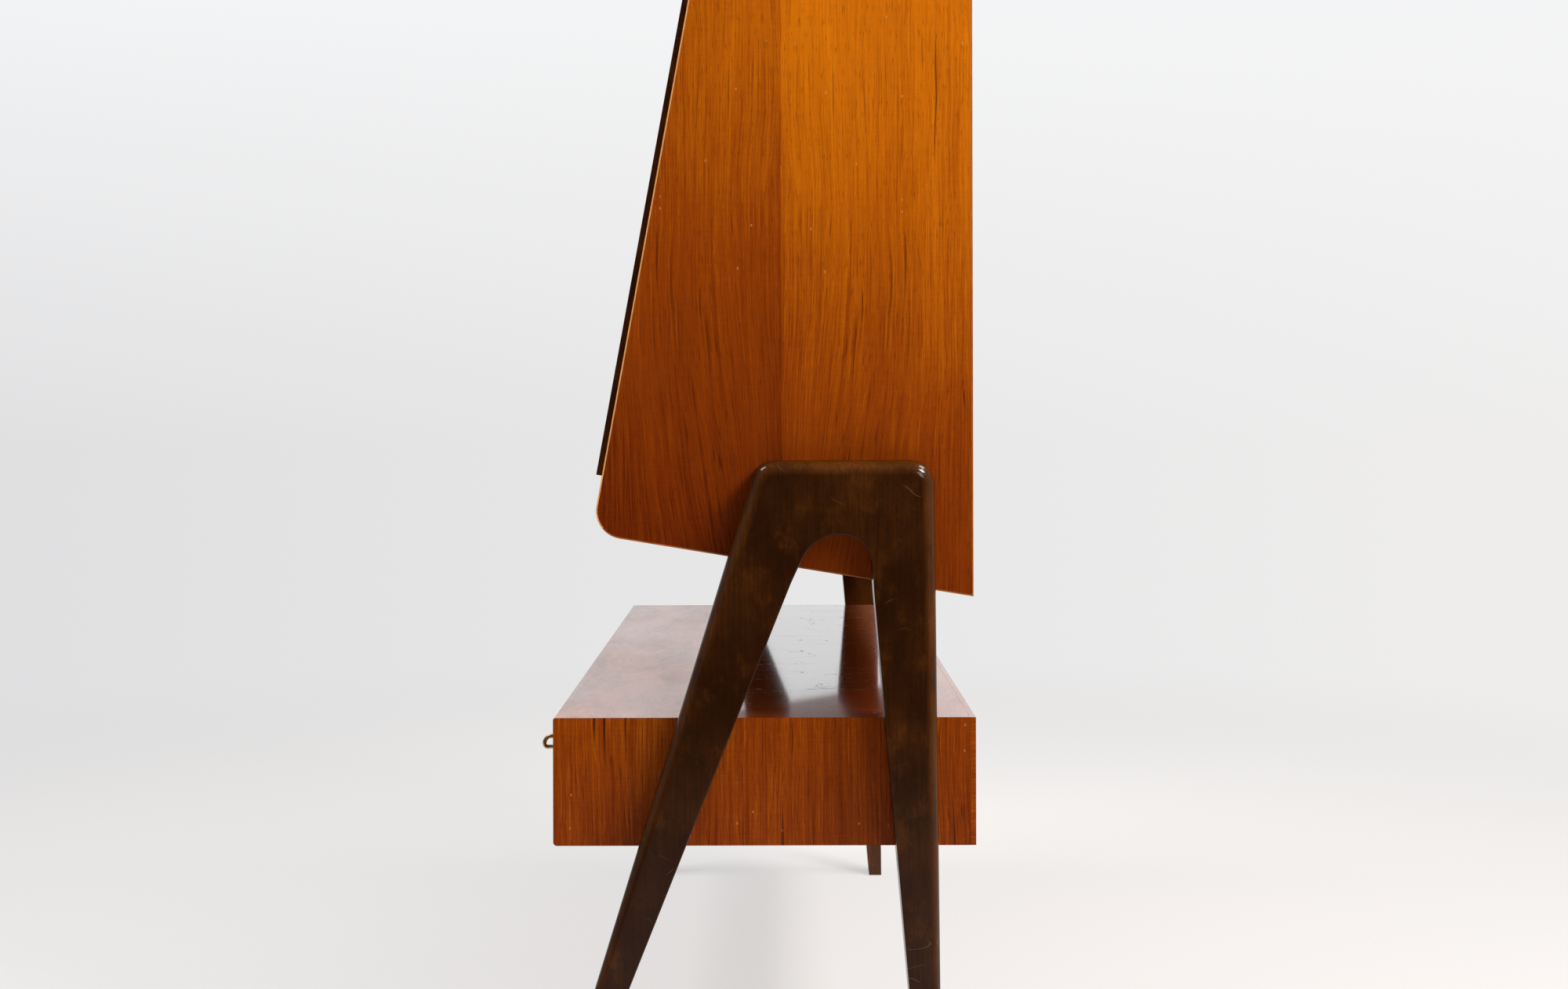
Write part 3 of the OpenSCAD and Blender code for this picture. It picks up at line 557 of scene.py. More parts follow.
def dusty_bloom_and_sheen(place, colour, haze):
    """The pale bloom on a top that is wiped and leaned on, and where it dulls the polish: partly
    dust and worn polish, partly a painted sheen for the pale haze seen at a low angle.
    """
    here, front_edge = axes(place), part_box("chest_top")[0].y
    cloud = spread(noise(place, 7.0, (0.5, 1, 1), detail=4.0, rough=0.6), 0.30, 0.70)
    dust = spread(noise(place, 190.0, (0.4, 1, 1), detail=4.0, rough=0.65), 0.30, 0.70)
    # Where the bloom lies, at the front and the rear: partly dust and worn polish, partly painted
    # sheen.
    front_bloom_and_sheen = spread(here["Y"], -0.10, 0.02, 1.0, 0.10, smooth=True)
    rear_bloom_and_sheen = spread(here["Y"], 0.13, 0.20, 0.0, 0.80, smooth=True)
    worn = most(front_bloom_and_sheen, rear_bloom_and_sheen) * spread(cloud, 0, 1, 0.62, 1.0)
    worn = worn * spread(dust, 0, 1, 0.70, 1.0)
    to_rim = most(abs(here["X"]), (table_end + front_edge) - here["Y"])
    handled = spread(to_rim, table_end - handled_w, table_end) * 0.10
    smears = noise(place, 11.0, (0.45, 1.6, 1), (6.0, 3.0, 0.0), 6.0, 0.70, 0.5) + handled
    smears = spread(smears, 0.44, 0.62) * worn
    scuffs = noise(place, 24.0, (0.30, 1, 1), (2.0, 5.0, 0.0), 3.0, 0.55, 0.3)
    scuffs = spread(scuffs, 0.54, 0.74) * spread(worn, 0.2, 0.7)
    arcs = noise(place, 9.0, (1, 0.35, 1), (4.0, 1.0, 0.0), 3.0, 0.5, 1.4)
    arcs = spread(arcs, 0.494, 0.498) * spread(arcs, 0.500, 0.504, 1, 0)
    marks = most(scuffs, arcs * 0.7)
    # The pale bloom colour is partly dust, partly a painted sheen; the smears and marks are real.
    colour = lay_over(
        colour,
        (worn * (1.6 * haze), (0.62, 0.275, 0.175)),
        (smears * (1.7 * haze), (0.13, 0.045, 0.022)),
        (marks * (1.1 * haze), (0.15, 0.055, 0.026)),
    )
    return colour, most(worn, marks)


def veneer(name, grain, tone_ends=(0.45, 0.45), span=(0.0, 1.0), seam=None, leaf_drop=0.0, fan=None,
           shift=(0.0, 0.0, 0.0), polish=0.35, haze=0.0, deep_lines=0.5, scuffs=0.3,
           contrast=1.0):
    """Sliced veneer; grain names the axes across it, along it and through it.

    The tone at the two ends of span runs from 0, dark, to 1, pale gold; seam is where two
    matched leaves meet, and leaf_drop darkens the one before it; fan is (start, spread) for
    figure that closes in on the seam below start; haze is the bloom on a top, partly dust and
    rubbed polish and partly a painted sheen.
    """
    finish, shader, place = new_finish(
        name, Coat_Weight=polish, Coat_Roughness=0.05 if haze else 0.10, Coat_IOR=1.45,
        Specular_IOR_Level=0.5 if haze else 0.035,
    )
    tree = finish.node_tree
    u, v, w = board_axes(place, grain, shift)
    height_here = axes(place)[grain[1]]
    if seam is not None:
        leaf = maths("GREATER_THAN", u - seam, 0.0)
        u, v = abs(u - seam), v + leaf * 0.004
    if fan is not None:
        drop = most(fan[0] - height_here, 0.0)
        near_seam = spread(u, 0.0, 0.055, smooth=True) * spread(
            u, 0.070, 0.210, 1.0, 0.0, smooth=True
        )
        u = u + near_seam * (drop * drop * fan[1])

    def field(across, u_scale, v_scale, detail=2.0, rough=0.5, offset=0.0):
        return board_noise(
            across * u_scale, maths("MULTIPLY_ADD", v, v_scale, offset),
            w * min(u_scale, 40.0), detail, rough,
        )

    wander = field(u, 7.0, 2.6) - 0.5
    ripple = field(u, 34.0, 17.0, 1.0, offset=5.3) - 0.5
    line = u + wander * 0.024 + ripple * 0.0030
    bands = field(line, 24.0, 1.3)
    stripes = field(line, 210.0, 3.2, 3.0, 0.66, 3.0)
    threads = field(line, 560.0, 5.0, 2.0, 0.6, 9.0)
    fibres = field(line, 1400.0, 26.0, 2.0, 0.6, 1.0)
    growth = abs(field(line, 190.0, 1.8, 2.0, 0.55, 41.0) - 0.5)
    growth = spread(growth, 0.006, 0.040, 1.0, 0.0) * spread(
        field(line, 60.0, 9.0, offset=47.0), 0.34, 0.62
    )
    patches = field(u, 4.2, 3.4, offset=11.0)
    shimmer = field(u, 40.0, 420.0, offset=2.0)
    pores = spread(field(line, 1100.0, 70.0, 1.0, offset=17.0), 0.62, 0.74)
    streaks = spread(field(line, 190.0, 5.0, 1.0, offset=23.0), 0.675, 0.765)
    dashes = spread(field(line, 430.0, 23.0, 1.0, offset=29.0), 0.66, 0.76)
    dash_room = spread(field(line, 16.0, 7.0, 1.0, offset=31.0), 0.44, 0.64)
    if fan is not None:
        dash_room = dash_room * spread(
            height_here, fan[0] - 0.22, fan[0] + 0.06, 1.5, 0.35, smooth=True
        )

    tone = spread(height_here, *span, *tone_ends, smooth=True)
    if leaf_drop:
        tone = tone - (1.0 - leaf) * leaf_drop
    for layer, amount in (
        (bands, 0.30), (stripes, 0.34), (threads, 0.46), (fibres, 0.52), (patches, 0.30),
        (shimmer, 0.10),
    ):
        tone = maths("MULTIPLY_ADD", layer - 0.5, amount * contrast, tone)
    tone = maths("MULTIPLY_ADD", growth, -0.130 * contrast, tone)
    ramp = node(tree, "ShaderNodeValToRGB", {0: most(maths("MINIMUM", tone, 1.0), 0.0)})
    stops = ramp.color_ramp.elements
    stops[0].color, stops[1].color = veneer_shade, veneer_light
    stops.new(mid_at).color = veneer_mid

    cells = node(tree, "ShaderNodeTexVoronoi", {
        "Vector": node(tree, "ShaderNodeCombineXYZ", {0: u * 62.0, 1: v * 38.0}), "Scale": 1.0,
    }, voronoi_dimensions="2D")
    cell_pick = Field(node(tree, "ShaderNodeSeparateColor", {0: Field(cells, "Color")}))
    specks = spread(cell_pick, 1.0 - 0.07 * scuffs, 1.0 - 0.05 * scuffs) * spread(
        Field(cells, "Distance"), 0.030, 0.075, 1.0, 0.0
    )
    colour = lay_over(
        Field(ramp),
        (streaks * deep_lines, (0.040, 0.0085, 0.0012)),
        (dashes * dash_room * deep_lines, (0.052, 0.0095, 0.0010)),
        (pores * 0.60, (0.060, 0.0120, 0.0012)),
        (specks * 0.55, (0.50, 0.25, 0.085)),
    )
    rough = spread(patches, 0.3, 0.7, 0.26, 0.36)
    height = maths("MULTIPLY_ADD", threads, 0.35, fibres * 0.25) - pores * 0.8
    if haze:
        colour, dulled = dusty_bloom_and_sheen(place, colour, haze)
        rough = spread(dulled, 0.0, 1.0, 0.06, 0.50)
        feed(shader, Coat_Weight=spread(dulled, 0.0, 1.0, 1.0, 1.0 - haze))
        height = maths("MULTIPLY_ADD", noise(place, 330.0, (0.6, 1, 1)), 1.4, height * 0.25)
    feed(shader, Base_Color=colour, Roughness=maths("MULTIPLY_ADD", pores, 0.15, rough))
    raise_grain(shader, height, 0.16, 0.00025)
    return finish


def edge_finish(name, tone, polish=0.3, worn_to=0.62):
    """The eased edge of a board, for lippings and for the dark line at an edge; that line is
    partly glue and polish and partly painted shade.
    """
    finish, shader, place = new_finish(
        name, Roughness=0.36, Coat_Weight=polish, Coat_Roughness=0.14,
    )
    wear = spread(noise(place, 55.0, detail=4.0, rough=0.6), 0.35, 0.7)
    feed(shader, Base_Color=lay_over([part * worn_to for part in tone], (wear, tone)))
    raise_grain(shader, noise(place, 420.0, detail=2.0), 0.12, 0.0003)
    return finish


def merged_copy(cad_name):
    """A CAD piece's mesh with its seams merged and its flat faces whole."""
    bm = bmesh.new()
    bm.from_mesh(nodes[cad_name].data)
    bmesh.ops.remove_doubles(bm, verts=bm.verts, dist=same_point)
    bmesh.ops.dissolve_limit(bm, angle_limit=flat_turn, verts=bm.verts, edges=bm.edges)
    return bm


def inset_lipping(bm, width):
    """Insets a side's outer face: material 1 on its front strip, painted paler as a painted
    highlight, 2 on all other edging.
    """
    outer = [
        face for face in bm.faces
        if abs(face.normal.x) > 0.99 and abs(face.calc_center_median().x) > table_end - near
    ]
    ring = bmesh.ops.inset_region(bm, faces=outer, thickness=width, use_even_offset=True)
    for face in bm.faces:
        if abs(face.normal.x) < 0.9:
            face.material_index = 2
    for face in ring["faces"]:
        strip = max(face.edges, key=lambda edge: edge.calc_length())
        ahead = (strip.verts[1].co - strip.verts[0].co).cross(Vector((1, 0, 0))).normalized()
        at_front = abs(ahead.y) > 0.8 and face.calc_center_median().y < lip_front_to
        face.material_index = 1 if at_front else 2


def round_edges(piece, width, segments):
    bevel = piece.modifiers.new("eased_edges", "BEVEL")
    bevel.width, bevel.segments = width, segments
    bevel.limit_method = "WEIGHT"
    bevel.use_clamp_overlap = True
    return bevel


def eased_copy(name, cad_name, finish, body="table", edges=(), width=0.0008, segments=2,
               lip=0.0, butted=None, facing=None):
    """A merged copy of a CAD board with its sharp edges eased, riding in its place.

    edges holds the finish of the eased edges or, where lip is the width of the solid
    lipping round a side's outer face, of the lipping in front and the one elsewhere.
    butted is the depth of a joint whose upper edge stays nearly sharp and closed, and
    facing a second finish with the direction of the faces that have it.
    """
    bm = merged_copy(cad_name)
    if lip:
        inset_lipping(bm, lip)
    eased = bm.edges.layers.float.new("bevel_weight_edge")
    for edge in bm.edges:
        on_joint = butted is not None and all(
            abs(vert.co.y - butted) < near and vert.co.z > chest_high - near
            for vert in edge.verts
        )
        if edge.calc_face_angle(0.0) > sharp_turn:
            edge[eased] = joint_ease if on_joint else 1.0
    for face in bm.faces:
        face.smooth = True
        if not lip:
            face.material_index = int(facing is not None and face.normal.dot(facing[1]) > 0.9)
    piece = add_piece(name, bm, finish, *edges, *(facing[:1] if facing else ()))
    bevel = round_edges(piece, width, segments)
    bevel.harden_normals = True
    bevel.material = 1 if edges and not lip else -1
    even_shading(piece)
    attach(piece, body)
    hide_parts(cad_name)
    return piece


# The dark edge line: partly glue and polish at the joint, partly painted shade.
dark_edge = edge_finish("dark_edge_line", (0.046, 0.012, 0.0020))
# The top's pale bloom is partly dust and worn polish, partly a painted sheen.
top_veneer = veneer(
    "chest_top_veneer", "YXZ", tone_ends=(0.42, 0.42), polish=1.0, haze=0.50, deep_lines=0.35,
    scuffs=1.0, shift=(0.7, 0.31, 0.0),
)
chest_end_veneer = veneer(
    "chest_end_veneer", "YZX", tone_ends=(0.40, 0.45), span=(chest_low, chest_high),
    shift=(0.0, 1.93, 0.41), deep_lines=1.0, scuffs=1.6, polish=0.20, contrast=1.5,
)
under_veneer = veneer(
    "chest_under_veneer", "YXZ", tone_ends=(0.30, 0.30), polish=0.15, shift=(0.2, 4.4, 0.0),
)
back_veneer = veneer(
    "chest_back_veneer", "ZXY", tone_ends=(0.42, 0.42), polish=0.2, shift=(1.3, 0.0, 2.2),
)
eased_copy("chest_top_board", "chest_top", top_veneer, edges=[dark_edge], butted=back_joint)
eased_copy("chest_bottom_board", "chest_bottom", under_veneer, edges=[dark_edge])
for side in ("left", "right"):
    eased_copy(
        "chest_" + side + "_board", "chest_" + side + "_end", chest_end_veneer,
        edges=[dark_edge], width=0.0011,
    )
eased_copy(
    "chest_back_board", "chest_back", back_veneer, width=0.0003, butted=back_joint,
    facing=(top_veneer, Vector((0, 0, 1))),
)

# ---------------------------------------------------------------- mirror cabinet
# A tall shallow case over the chest, leaning back at the front and sloping up underneath.
# Its two sides are veneered in matched leaves with a solid lipping, painted pale along the
# front edge: partly the lipping's own light wood, partly a painted highlight.
leaf_seam = 0.0365
# The sides run from dark at the bottom to pale gold at the top.
side_veneer = veneer(
    "cabinet_side_veneer", "YZX", tone_ends=(0.27, 0.88), span=(0.50, 1.30), seam=leaf_seam,
    leaf_drop=0.19, fan=(1.02, 0.19), deep_lines=0.75, scuffs=0.5, polish=0.22,
)
# The front lipping is painted pale: partly its own light wood, partly a painted highlight.
lip_with_highlight = edge_finish("lipping_with_highlight", (0.80, 0.36, 0.115), 0.4, 0.78)
tan_lip = edge_finish("tan_lipping", (0.42, 0.125, 0.016), 0.4, 0.70)
# The case top has a lighter touch of the same bloom, partly dust and partly painted sheen.
case_top_veneer = veneer(
    "cabinet_top_veneer", "YXZ", tone_ends=(0.62, 0.62), polish=0.5, haze=0.15,
    shift=(2.4, 1.1, 0.0),
)
case_under_veneer = veneer(
    "cabinet_under_veneer", "YXZ", tone_ends=(0.28, 0.28), polish=0.2, shift=(3.4, 2.7, 0.0),
)
case_back_veneer = veneer(
    "cabinet_back_veneer", "XZY", tone_ends=(0.34, 0.50), span=(0.6, 1.6), polish=0.15,
    shift=(0.4, 0.0, 3.3),
)
rail_veneer = veneer(
    "cabinet_rail_veneer", "ZXY", tone_ends=(0.34, 0.34), polish=0.3, shift=(1.9, 0.0, 5.1),
)
for side in ("left", "right"):
    eased_copy(
        "cabinet_" + side + "_board", "cabinet_" + side + "_side", side_veneer,
        edges=(lip_with_highlight, tan_lip), width=0.0010, segments=3, lip=0.0015,
    )
for name, cad_name, finish, width in (
    ("cabinet_top_board", "cabinet_top", case_top_veneer, 0.0008),
    ("cabinet_bottom_board", "cabinet_bottom", case_under_veneer, 0.0008),
    ("cabinet_back_board", "cabinet_back", case_back_veneer, 0.0006),
    ("cabinet_top_front_rail", "cabinet_top_rail", rail_veneer, 0.0008),
    ("cabinet_low_front_rail", "cabinet_bottom_rail", rail_veneer, 0.0008),
):
    eased_copy(name, cad_name, finish, edges=[dark_edge], width=width)

# ---------------------------------------------------------------- dividers, runners and stops
# Pale close-grained wood inside the case: two uprights between the drawers, the strips that
# the drawers run on, and the small blocks that stop them. Planed, unpolished, a little dusty.
body_of = {
    part: body for body, parts in frame["record"]["behaviour"]["bodies"].items()
    for part in parts
}


def inner_wood(name, grain, tone=(0.50, 0.315, 0.155), shift=(0, 0, 0)):
    """Plain sawn and planed wood, waxed at most, with faint rings and a little grime."""
    finish, shader, place = new_finish(name, Specular_IOR_Level=0.3)
    u, v, w = board_axes(place, grain, shift)

    def field(u_scale, v_scale, detail=2.0, rough=0.5):
        return board_noise(u * u_scale, v * v_scale, w * u_scale, detail, rough)

    rings = spread(field(70.0, 2.2, 3.0, 0.6), 0.3, 0.7)
    fibres = spread(field(900.0, 16.0), 0.3, 0.7)
    flecks = spread(field(600.0, 120.0, 1.0), 0.64, 0.72)
    grime = spread(noise(place, 7.0, detail=4.0, rough=0.6), 0.45, 0.75, smooth=True)
    colour = lay_over(
        [part * 0.60 for part in tone],
        (rings, [min(1.0, part * 1.16) for part in tone]),
        (fibres * 0.35, tone),
        (flecks * 0.5, (0.20, 0.095, 0.035)),
        (grime * 0.35, (0.21, 0.13, 0.070)),
    )
    feed(shader, Base_Color=colour, Roughness=spread(fibres, 0, 1, 0.50, 0.64))
    raise_grain(shader, fibres - flecks, 0.25, 0.0003)
    return finish


divider_wood = inner_wood("divider_wood", "ZYX")
divider_lip = veneer(
    "divider_front_veneer", "XZY", tone_ends=(0.42, 0.42), shift=(0.55, 0.3, 0.8), scuffs=0.6,
)
runner_wood = inner_wood("runner_wood", "XYZ", (0.44, 0.26, 0.120), (0.3, 1.0, 0.2))
for side in ("left", "right"):
    eased_copy(
        side + "_drawer_divider", "chest_" + side + "_divider", divider_wood, width=0.0006,
        facing=(divider_lip, Vector((0, -1, 0))),
    )
eased_copy("runner_strips", "drawer_runners", runner_wood)
eased_copy("stop_blocks", "drawer_stops", runner_wood)

# ---------------------------------------------------------------- drawers
# Three drawers side by side, their fronts cut from one run of veneer. The sides are joined
# to the front and back with dovetails, and a thin bottom slides in a groove.
front_veneer = veneer(
    "drawer_front_veneer", "ZXY", tone_ends=(0.44, 0.40), span=(-0.6, 0.6), shift=(0.0, 0.7, 1.15),
    deep_lines=0.7, scuffs=1.0, contrast=1.1,
)
drawer_boards = (
    ("sides", "_side_boards", 0.0005,
     inner_wood("drawer_side_wood", "ZYX", (0.52, 0.33, 0.165))),
    ("back", "_back_board", 0.0005,
     inner_wood("drawer_back_wood", "ZXY", (0.50, 0.31, 0.15), (2, 1, 0))),
    ("bottom", "_bottom_board", 0.0004,
     inner_wood("drawer_bottom_wood", "YXZ", (0.46, 0.29, 0.145), (0.5, 3, 0))),
)
for drawer in ("left_drawer", "centre_drawer", "right_drawer"):
    eased_copy(
        drawer + "_face", drawer + "_front", front_veneer, drawer, [dark_edge], 0.0007
    )
    for board, ending, width, wood in drawer_boards:
        eased_copy(
            drawer + ending, drawer + "_" + board, wood, drawer, width=width,
        )

# ---------------------------------------------------------------- drawer pulls
# Each pull is one brass rod bent to an upright loop, tighter below than above, with its two
# ends through the front and a hex nut on each inside. The brass has dulled with handling.
rod_r, rod_sides, tip_chamfer = 0.0023, 20, 0.0006
low_bend, high_bend = 0.00372, 0.00868
low_steps, high_steps = 10, 14
bore_mouth = -0.2065
pull_places = {"left": -0.394, "centre": 0.0, "right": 0.394}


def aged_brass(name, tone, dull=(0.235, 0.150, 0.065), rough=0.30):
    """Brass that has browned in its hollows and stayed bright where it is rubbed."""
    finish, shader, place = new_finish(name, Metallic=1.0)
    cloud = spread(noise(place, 85.0, detail=4.0, rough=0.6), 0.36, 0.66, smooth=True)
    fine = noise(place, 620.0)
    spots = spread(fine, 0.60, 0.75, 0.0, 0.6)
    colour = lay_over(tone, (cloud, dull), (spots, (0.10, 0.062, 0.030)))
    feed(shader, Base_Color=colour, Roughness=maths("MULTIPLY_ADD", cloud, 0.18, rough))
    raise_grain(shader, fine, 0.10, 0.0002)
    return finish


def pull_stations():
    """The rod's middle line as (y, z, (its direction), radius), from end to end."""
    low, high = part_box("centre_drawer_pull")
    tip, back = low.y + rod_r, high.y
    bottom, top = low.z + rod_r, high.z - rod_r
    end_r = rod_r - tip_chamfer
    path = [(back, bottom, (-1, 0), end_r), (back - tip_chamfer, bottom, (-1, 0), rod_r)]
    path.append((bore_mouth, bottom, (-1, 0), rod_r))
    for s, c in ((math.sin(turn), math.cos(turn)) for turn in quarter_turns(low_steps)):
        y, z = tip + low_bend - low_bend * s, bottom + low_bend - low_bend * c
        path.append((y, z, (-c, s), rod_r))
    for s, c in ((math.sin(turn), math.cos(turn)) for turn in quarter_turns(high_steps)):
        y, z = tip + high_bend - high_bend * c, top - high_bend + high_bend * s
        path.append((y, z, (s, c), rod_r))
    path.append((bore_mouth, top, (1, 0), rod_r))
    return path + [(back - tip_chamfer, top, (1, 0), rod_r), (back, top, (1, 0), end_r)]


def build_pull(name, x, finish):
    bm = bmesh.new()
    rings, turns = [], [2 * math.pi * i / rod_sides for i in range(rod_sides)]
    for y, z, (ty, tz), r in pull_stations():
        rings.append([
            bm.verts.new((
                x + r * math.cos(turn), y - tz * r * math.sin(turn), z + ty * r * math.sin(turn)
            )) for turn in turns
        ])
    loft(bm, rings)
    return add_piece(name, bm, finish)


pull_brass = aged_brass("pull_brass", (0.62, 0.41, 0.165), rough=0.24)
nut_brass = aged_brass("nut_brass", (0.50, 0.34, 0.14), rough=0.32)
for side, x in pull_places.items():
    pull = build_pull(side + "_brass_pull", x, pull_brass)
    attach(pull, side + "_drawer")
    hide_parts(side + "_drawer_pull")
    eased_copy(
        side + "_hex_nuts", side + "_drawer_nuts", nut_brass, side + "_drawer", width=0.0003,
    )

# ---------------------------------------------------------------- partitions and shelves
# Two uprights make three bays behind the mirrors. Each side bay has two loose shelves on
# brass pins, and the frame bolts show their heads inside.
partition_wood = inner_wood("partition_wood", "YZX", (0.40, 0.215, 0.088), (0.0, 0.4, 1.2))
shelf_wood = inner_wood("shelf_wood", "YXZ", (0.42, 0.23, 0.095), (1.2, 0.4, 0.0))
pin_brass = aged_brass("pin_brass", (0.56, 0.38, 0.16))
bolt_steel = aged_brass("bolt_steel", (0.42, 0.37, 0.30), (0.17, 0.13, 0.095), 0.34)
for side in ("left", "right"):
    eased_copy(
        side + "_upright", "cabinet_" + side + "_partition", partition_wood
    )
    eased_copy(side + "_shelf_boards", side + "_shelves", shelf_wood)
for name, cad_name, metal, width in (
    ("brass_shelf_pins", "shelf_pins", pin_brass, 0.0003),
    ("countersunk_bolts", "frame_bolts", bolt_steel, 0.0003),
    ("brass_wing_catches", "wing_catches", pin_brass, 0.0006),
):
    eased_copy(name, cad_name, metal, width=width)

# ---------------------------------------------------------------- mirrors
# Three tall looking-glasses lie along the leaning front, the middle one fixed and the wings
# hinged beside it. Each has a slim dark-stained frame, rounded in front, silvered glass in
# its rebate, and a thin plywood back.
lean = math.radians(10.4)
up_face = Vector((0, math.sin(lean), math.cos(lean)))
into_face = Vector((0, math.cos(lean), -math.sin(lean)))
across_face = Vector((1, 0, 0))
frame_round, mitre_groove = 0.0022, 0.00030
looking_glasses = {"centre_mirror": "centre", "left_wing": "left", "right_wing": "right"}


def silvered_glass(name):
    """Silver behind glass: clean in the middle, with small brown spots towards the rim."""
    finish, shader, place = new_finish(
        name, Metallic=1.0, Coat_Weight=0.5, Coat_Roughness=0.02,
    )
    spots = spread(noise(place, 120.0, detail=4.0, rough=0.65), 0.69, 0.76)
    bloom = spread(noise(place, 5.0, detail=4.0, rough=0.6), 0.50, 0.80, smooth=True)
    colour = lay_over(
        (0.900, 0.915, 0.905),
        (bloom * 0.35, (0.780, 0.785, 0.760)),
        (spots * 0.5, (0.25, 0.21, 0.16)),
    )
    rough = maths("MULTIPLY_ADD", spots, 0.25, spread(bloom, 0, 1, 0.012, 0.05))
    feed(shader, Base_Color=colour, Roughness=rough)
    return finish


def face_reach(points):
    """The least and greatest place of points across, up and into the leaning front."""
    return [
        (min(point.dot(way) for point in points), max(point.dot(way) for point in points))
        for way in (across_face, up_face, into_face)
    ]


def mitred_frame(name, cad_name, body, upright_finish, cross_finish):
    """Four rails, cut from the CAD frame on its corner diagonals, with their joints showing."""
    whole = merged_copy(cad_name)
    (x0, x1), (s0, s1), _ = face_reach([vert.co for vert in whole.verts])
    rising, falling = across_face + up_face, across_face - up_face
    low_left, low_right, top_left, top_right = (
        across_face * x + up_face * s for s in (s0, s1) for x in (x0, x1)
    )
    middle = across_face * ((x0 + x1) / 2)
    rails = (
        (0, (low_left, falling), (top_left, rising), (middle, across_face)),
        (0, (low_right, -rising), (top_right, -falling), (middle, -across_face)),
        (1, (low_left, -falling), (low_right, rising)),
        (1, (top_left, -rising), (top_right, falling)),
    )
    merged = bmesh.new()
    weight = merged.edges.layers.float.new("bevel_weight_edge")
    for finish_index, *cuts in rails:
        rail = whole.copy()
        for corner, away in cuts:
            bmesh.ops.bisect_plane(
                rail, geom=rail.verts[:] + rail.edges[:] + rail.faces[:], dist=1e-7,
                plane_co=corner, plane_no=away.normalized(), clear_outer=True,
            )
            rim = [edge for edge in rail.edges if edge.is_boundary]
            bmesh.ops.holes_fill(rail, edges=rim, sides=0)
        bmesh.ops.recalc_face_normals(rail, faces=rail.faces)
        placed = {vert: merged.verts.new(vert.co) for vert in rail.verts}
        for face in rail.faces:
            made = merged.faces.new([placed[vert] for vert in face.verts])
            made.material_index, made.smooth = finish_index, True
        rail.free()
    whole.free()
    merged.normal_update()
    for edge in merged.edges:
        on_mitre = any(
            abs(face.normal.dot(way.normalized())) > 0.999
            for face in edge.link_faces for way in (falling, rising)
        )
        if edge.calc_face_angle(0.0) > sharp_turn:
            edge[weight] = mitre_groove / frame_round if on_mitre else 1.0
    piece = add_piece(name, merged, upright_finish, cross_finish)
    round_edges(piece, frame_round, 4)
    even_shading(piece)
    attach(piece, body)
    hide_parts(cad_name)


# The frames take a lighter copy of the stain: painted light for the shade they stand in beside the
# case.
mirror_stain_painted_lighter = stained_wood("mirror_frame_stain_painted_lighter", "Z", (0.4, 0.2, 0.0), 0.42)
cross_stain_painted_lighter = stained_wood("mirror_rail_stain_painted_lighter", "X", (1.4, 0.7, 0.0), 0.42)
backing_wood = inner_wood("backing_plywood", "XZY", (0.42, 0.27, 0.14), (0.6, 0.0, 0.9))
silver = silvered_glass("silvered_glass")
for cad_name, which in looking_glasses.items():
    body, glass = body_of[cad_name + "_frame"], which + "_looking_glass"
    mitred_frame(glass + "_frame", cad_name + "_frame", body, mirror_stain_painted_lighter, cross_stain_painted_lighter)
    eased_copy(
        glass + "_silver", cad_name + "_glass", silver, body, width=0.0004
    )
    eased_copy(
        glass + "_backing", cad_name + "_backing", backing_wood, body, width=0.0005,
    )

# ---------------------------------------------------------------- hinges
# Three brass butt hinges to each wing, with a loose middle knuckle on a fixed pin. The
# fixed leaves ride with the cabinet and the moving ones with the wing.
hinge_brass = aged_brass("hinge_brass", (0.55, 0.37, 0.15), rough=0.28)
for kind in ("left_fixed", "left_moving", "right_fixed", "right_moving"):
    eased_copy(
        kind + "_butt_hinges", kind + "_hinges", hinge_brass, body_of[kind + "_hinges"],
        width=0.0003,
    )

# ---------------------------------------------------------------- panel pins
# The thin backs are held with small round-headed steel pins, a hand's breadth apart on the
# case and closer on the mirrors. They were hammered in by hand, so no two sit quite alike.
pin_head_r, pin_head_h, unevenness = 0.0021, 0.0010, 0.16
case_pitch, mirror_pitch = 0.098, 0.072
case_inset, mirror_inset, corner_gap, divider_gap = 0.0075, 0.005, 0.03, 0.06
case_sunk, mirror_sunk = 0.0006, 0.0007


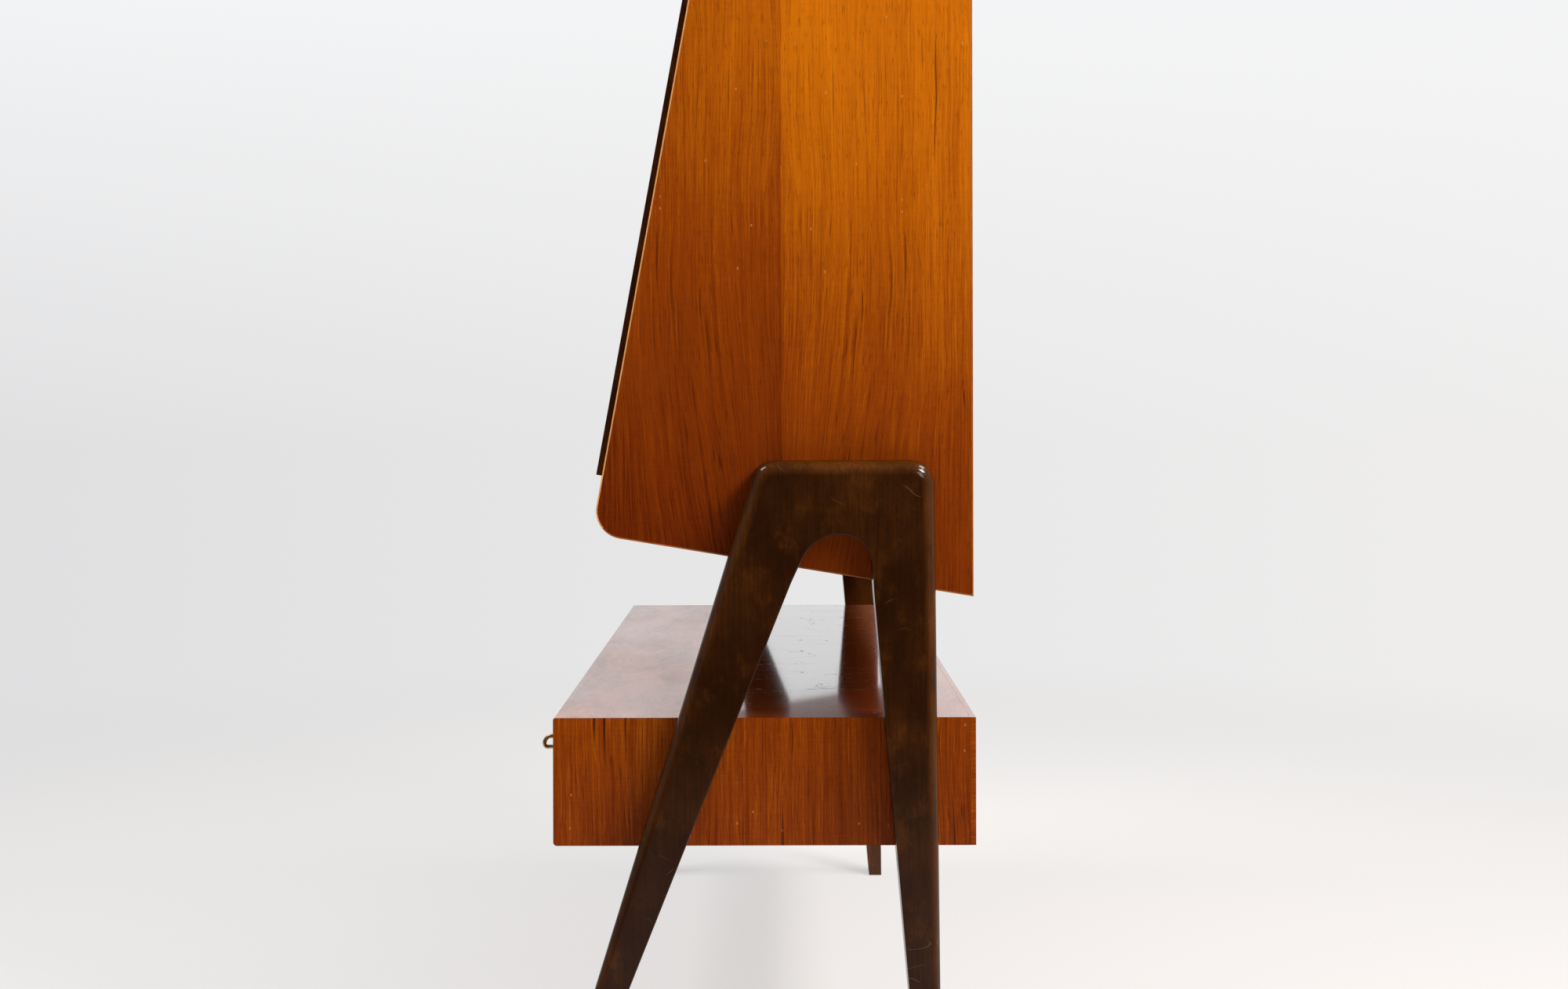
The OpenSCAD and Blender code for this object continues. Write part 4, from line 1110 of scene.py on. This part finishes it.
def pin_tree(name):
    """Geometry Nodes: squashed heads set along the edges of a mesh, one for each pitch."""
    tree = bpy.data.node_groups.new(name, "GeometryNodeTree")
    for socket, kind in (
        ("Rows", "Geometry"), ("Pitch", "Float"), ("Head radius", "Float"),
        ("Head height", "Float"), ("Facing", "Vector"), ("Unevenness", "Float"),
        ("Seed", "Int"), ("Finish", "Material"),
    ):
        tree.interface.new_socket(socket, in_out="INPUT", socket_type="NodeSocket" + kind)
    tree.interface.new_socket("Pins", in_out="OUTPUT", socket_type="NodeSocketGeometry")
    group = node(tree, "NodeGroupInput")
    given = {out.name: Field(group, out.name) for out in group.outputs if out.name}
    places = node(tree, "GeometryNodeResampleCurve", {
        "Curve": node(tree, "GeometryNodeMeshToCurve", {"Mesh": given["Rows"]}),
        "Length": given["Pitch"],
    }, mode="LENGTH")
    ball = node(tree, "GeometryNodeMeshUVSphere", {
        "Segments": 14, "Rings": 8, "Radius": given["Head radius"],
    })
    squash = maths("DIVIDE", given["Head height"], given["Head radius"])
    head = node(tree, "GeometryNodeTransform", {
        "Geometry": ball,
        "Scale": node(tree, "ShaderNodeCombineXYZ", {0: 1.0, 1: 1.0, 2: squash}),
    })
    size = node(tree, "FunctionNodeRandomValue", {
        "Min": 1.0 - given["Unevenness"], "Max": 1.0, "Seed": given["Seed"],
    }, data_type="FLOAT")
    any_size = next(
        i for i, out in enumerate(size.outputs) if out.type == "VALUE" and out.enabled
    )
    heads = node(tree, "GeometryNodeInstanceOnPoints", {
        "Points": places,
        "Instance": node(tree, "GeometryNodeSetShadeSmooth", {"Geometry": head}),
        "Rotation": node(
            tree, "FunctionNodeAlignRotationToVector", {"Vector": given["Facing"]}, axis="Z"
        ),
        "Scale": Field(size, any_size),
    })
    done = node(tree, "GeometryNodeSetMaterial", {
        "Geometry": node(tree, "GeometryNodeRealizeInstances", {"Geometry": heads}),
        "Material": given["Finish"],
    })
    node(tree, "NodeGroupOutput", {"Pins": done})
    return tree


def row_of_pins(name, body, rows, pitch, facing, seed):
    """rows are lists of points; each list becomes one row of heads, ends included."""
    points = [point for row in rows for point in row]
    edges, start = [], 0
    for row in rows:
        edges += [(start + i, start + i + 1) for i in range(len(row) - 1)]
        start += len(row)
    lines = bpy.data.meshes.new(name + "_rows")
    lines.from_pydata(points, edges, [])
    guide = add_piece(name + "_rows", lines)
    pins = guide.modifiers.new("panel_pins", "NODES")
    pins.node_group = pin_nodes
    sizes = {
        "Pitch": pitch, "Head radius": pin_head_r, "Head height": pin_head_h,
        "Facing": facing, "Unevenness": unevenness, "Seed": seed, "Finish": pin_steel,
    }
    for socket in pin_nodes.interface.items_tree:
        if socket.name in sizes:
            pins[socket.identifier] = sizes[socket.name]
    guide.update_tag()
    ready = guide.evaluated_get(bpy.context.evaluated_depsgraph_get())
    mesh = bpy.data.meshes.new_from_object(ready)
    mesh.name = name
    bpy.data.objects.remove(guide)
    piece = add_piece(name, mesh)
    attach(piece, body)


def rim_rows(x_reach, s_reach, inset, at):
    """Four rows round a board's rim; at() places (x, height) on its back face."""
    (x0, x1), (s0, s1) = ((low + inset, high - inset) for low, high in (x_reach, s_reach))
    up = [s0, (s0 + s1) / 2, s1]
    return [
        [at(x0, s) for s in up], [at(x1, s) for s in up],
        [at(x0 + corner_gap, s0), at(x1 - corner_gap, s0)],
        [at(x0 + corner_gap, s1), at(x1 - corner_gap, s1)],
    ]


pin_steel = aged_brass("pin_steel", (0.50, 0.48, 0.45), (0.20, 0.165, 0.135))
pin_nodes = pin_tree("panel_pins")
back_low, back_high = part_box("cabinet_back")
sunk = back_high.y - case_sunk
back_rows = rim_rows(
    (back_low.x, back_high.x), (back_low.z, back_high.z), case_inset,
    lambda x, s: (x, sunk, s),
)
for side in ("left", "right"):
    low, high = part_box("cabinet_" + side + "_partition")
    x = (low.x + high.x) / 2
    back_rows.append([(x, sunk, back_low.z + divider_gap), (x, sunk, back_high.z - divider_gap)])
row_of_pins("case_back_pins", "table", back_rows, case_pitch, Vector((0, 1, 0)), 3)

for seed, (cad_name, which) in enumerate(looking_glasses.items(), 5):
    x_reach, s_reach, (_, behind) = face_reach(
        [vert.co for vert in nodes[cad_name + "_backing"].data.vertices]
    )

    def on_backing(x, s, behind=behind - mirror_sunk):
        return across_face * x + up_face * s + into_face * behind

    row_of_pins(
        which + "_looking_glass_pins", body_of[cad_name + "_frame"],
        rim_rows(x_reach, s_reach, mirror_inset, on_backing), mirror_pitch, into_face, seed,
    )
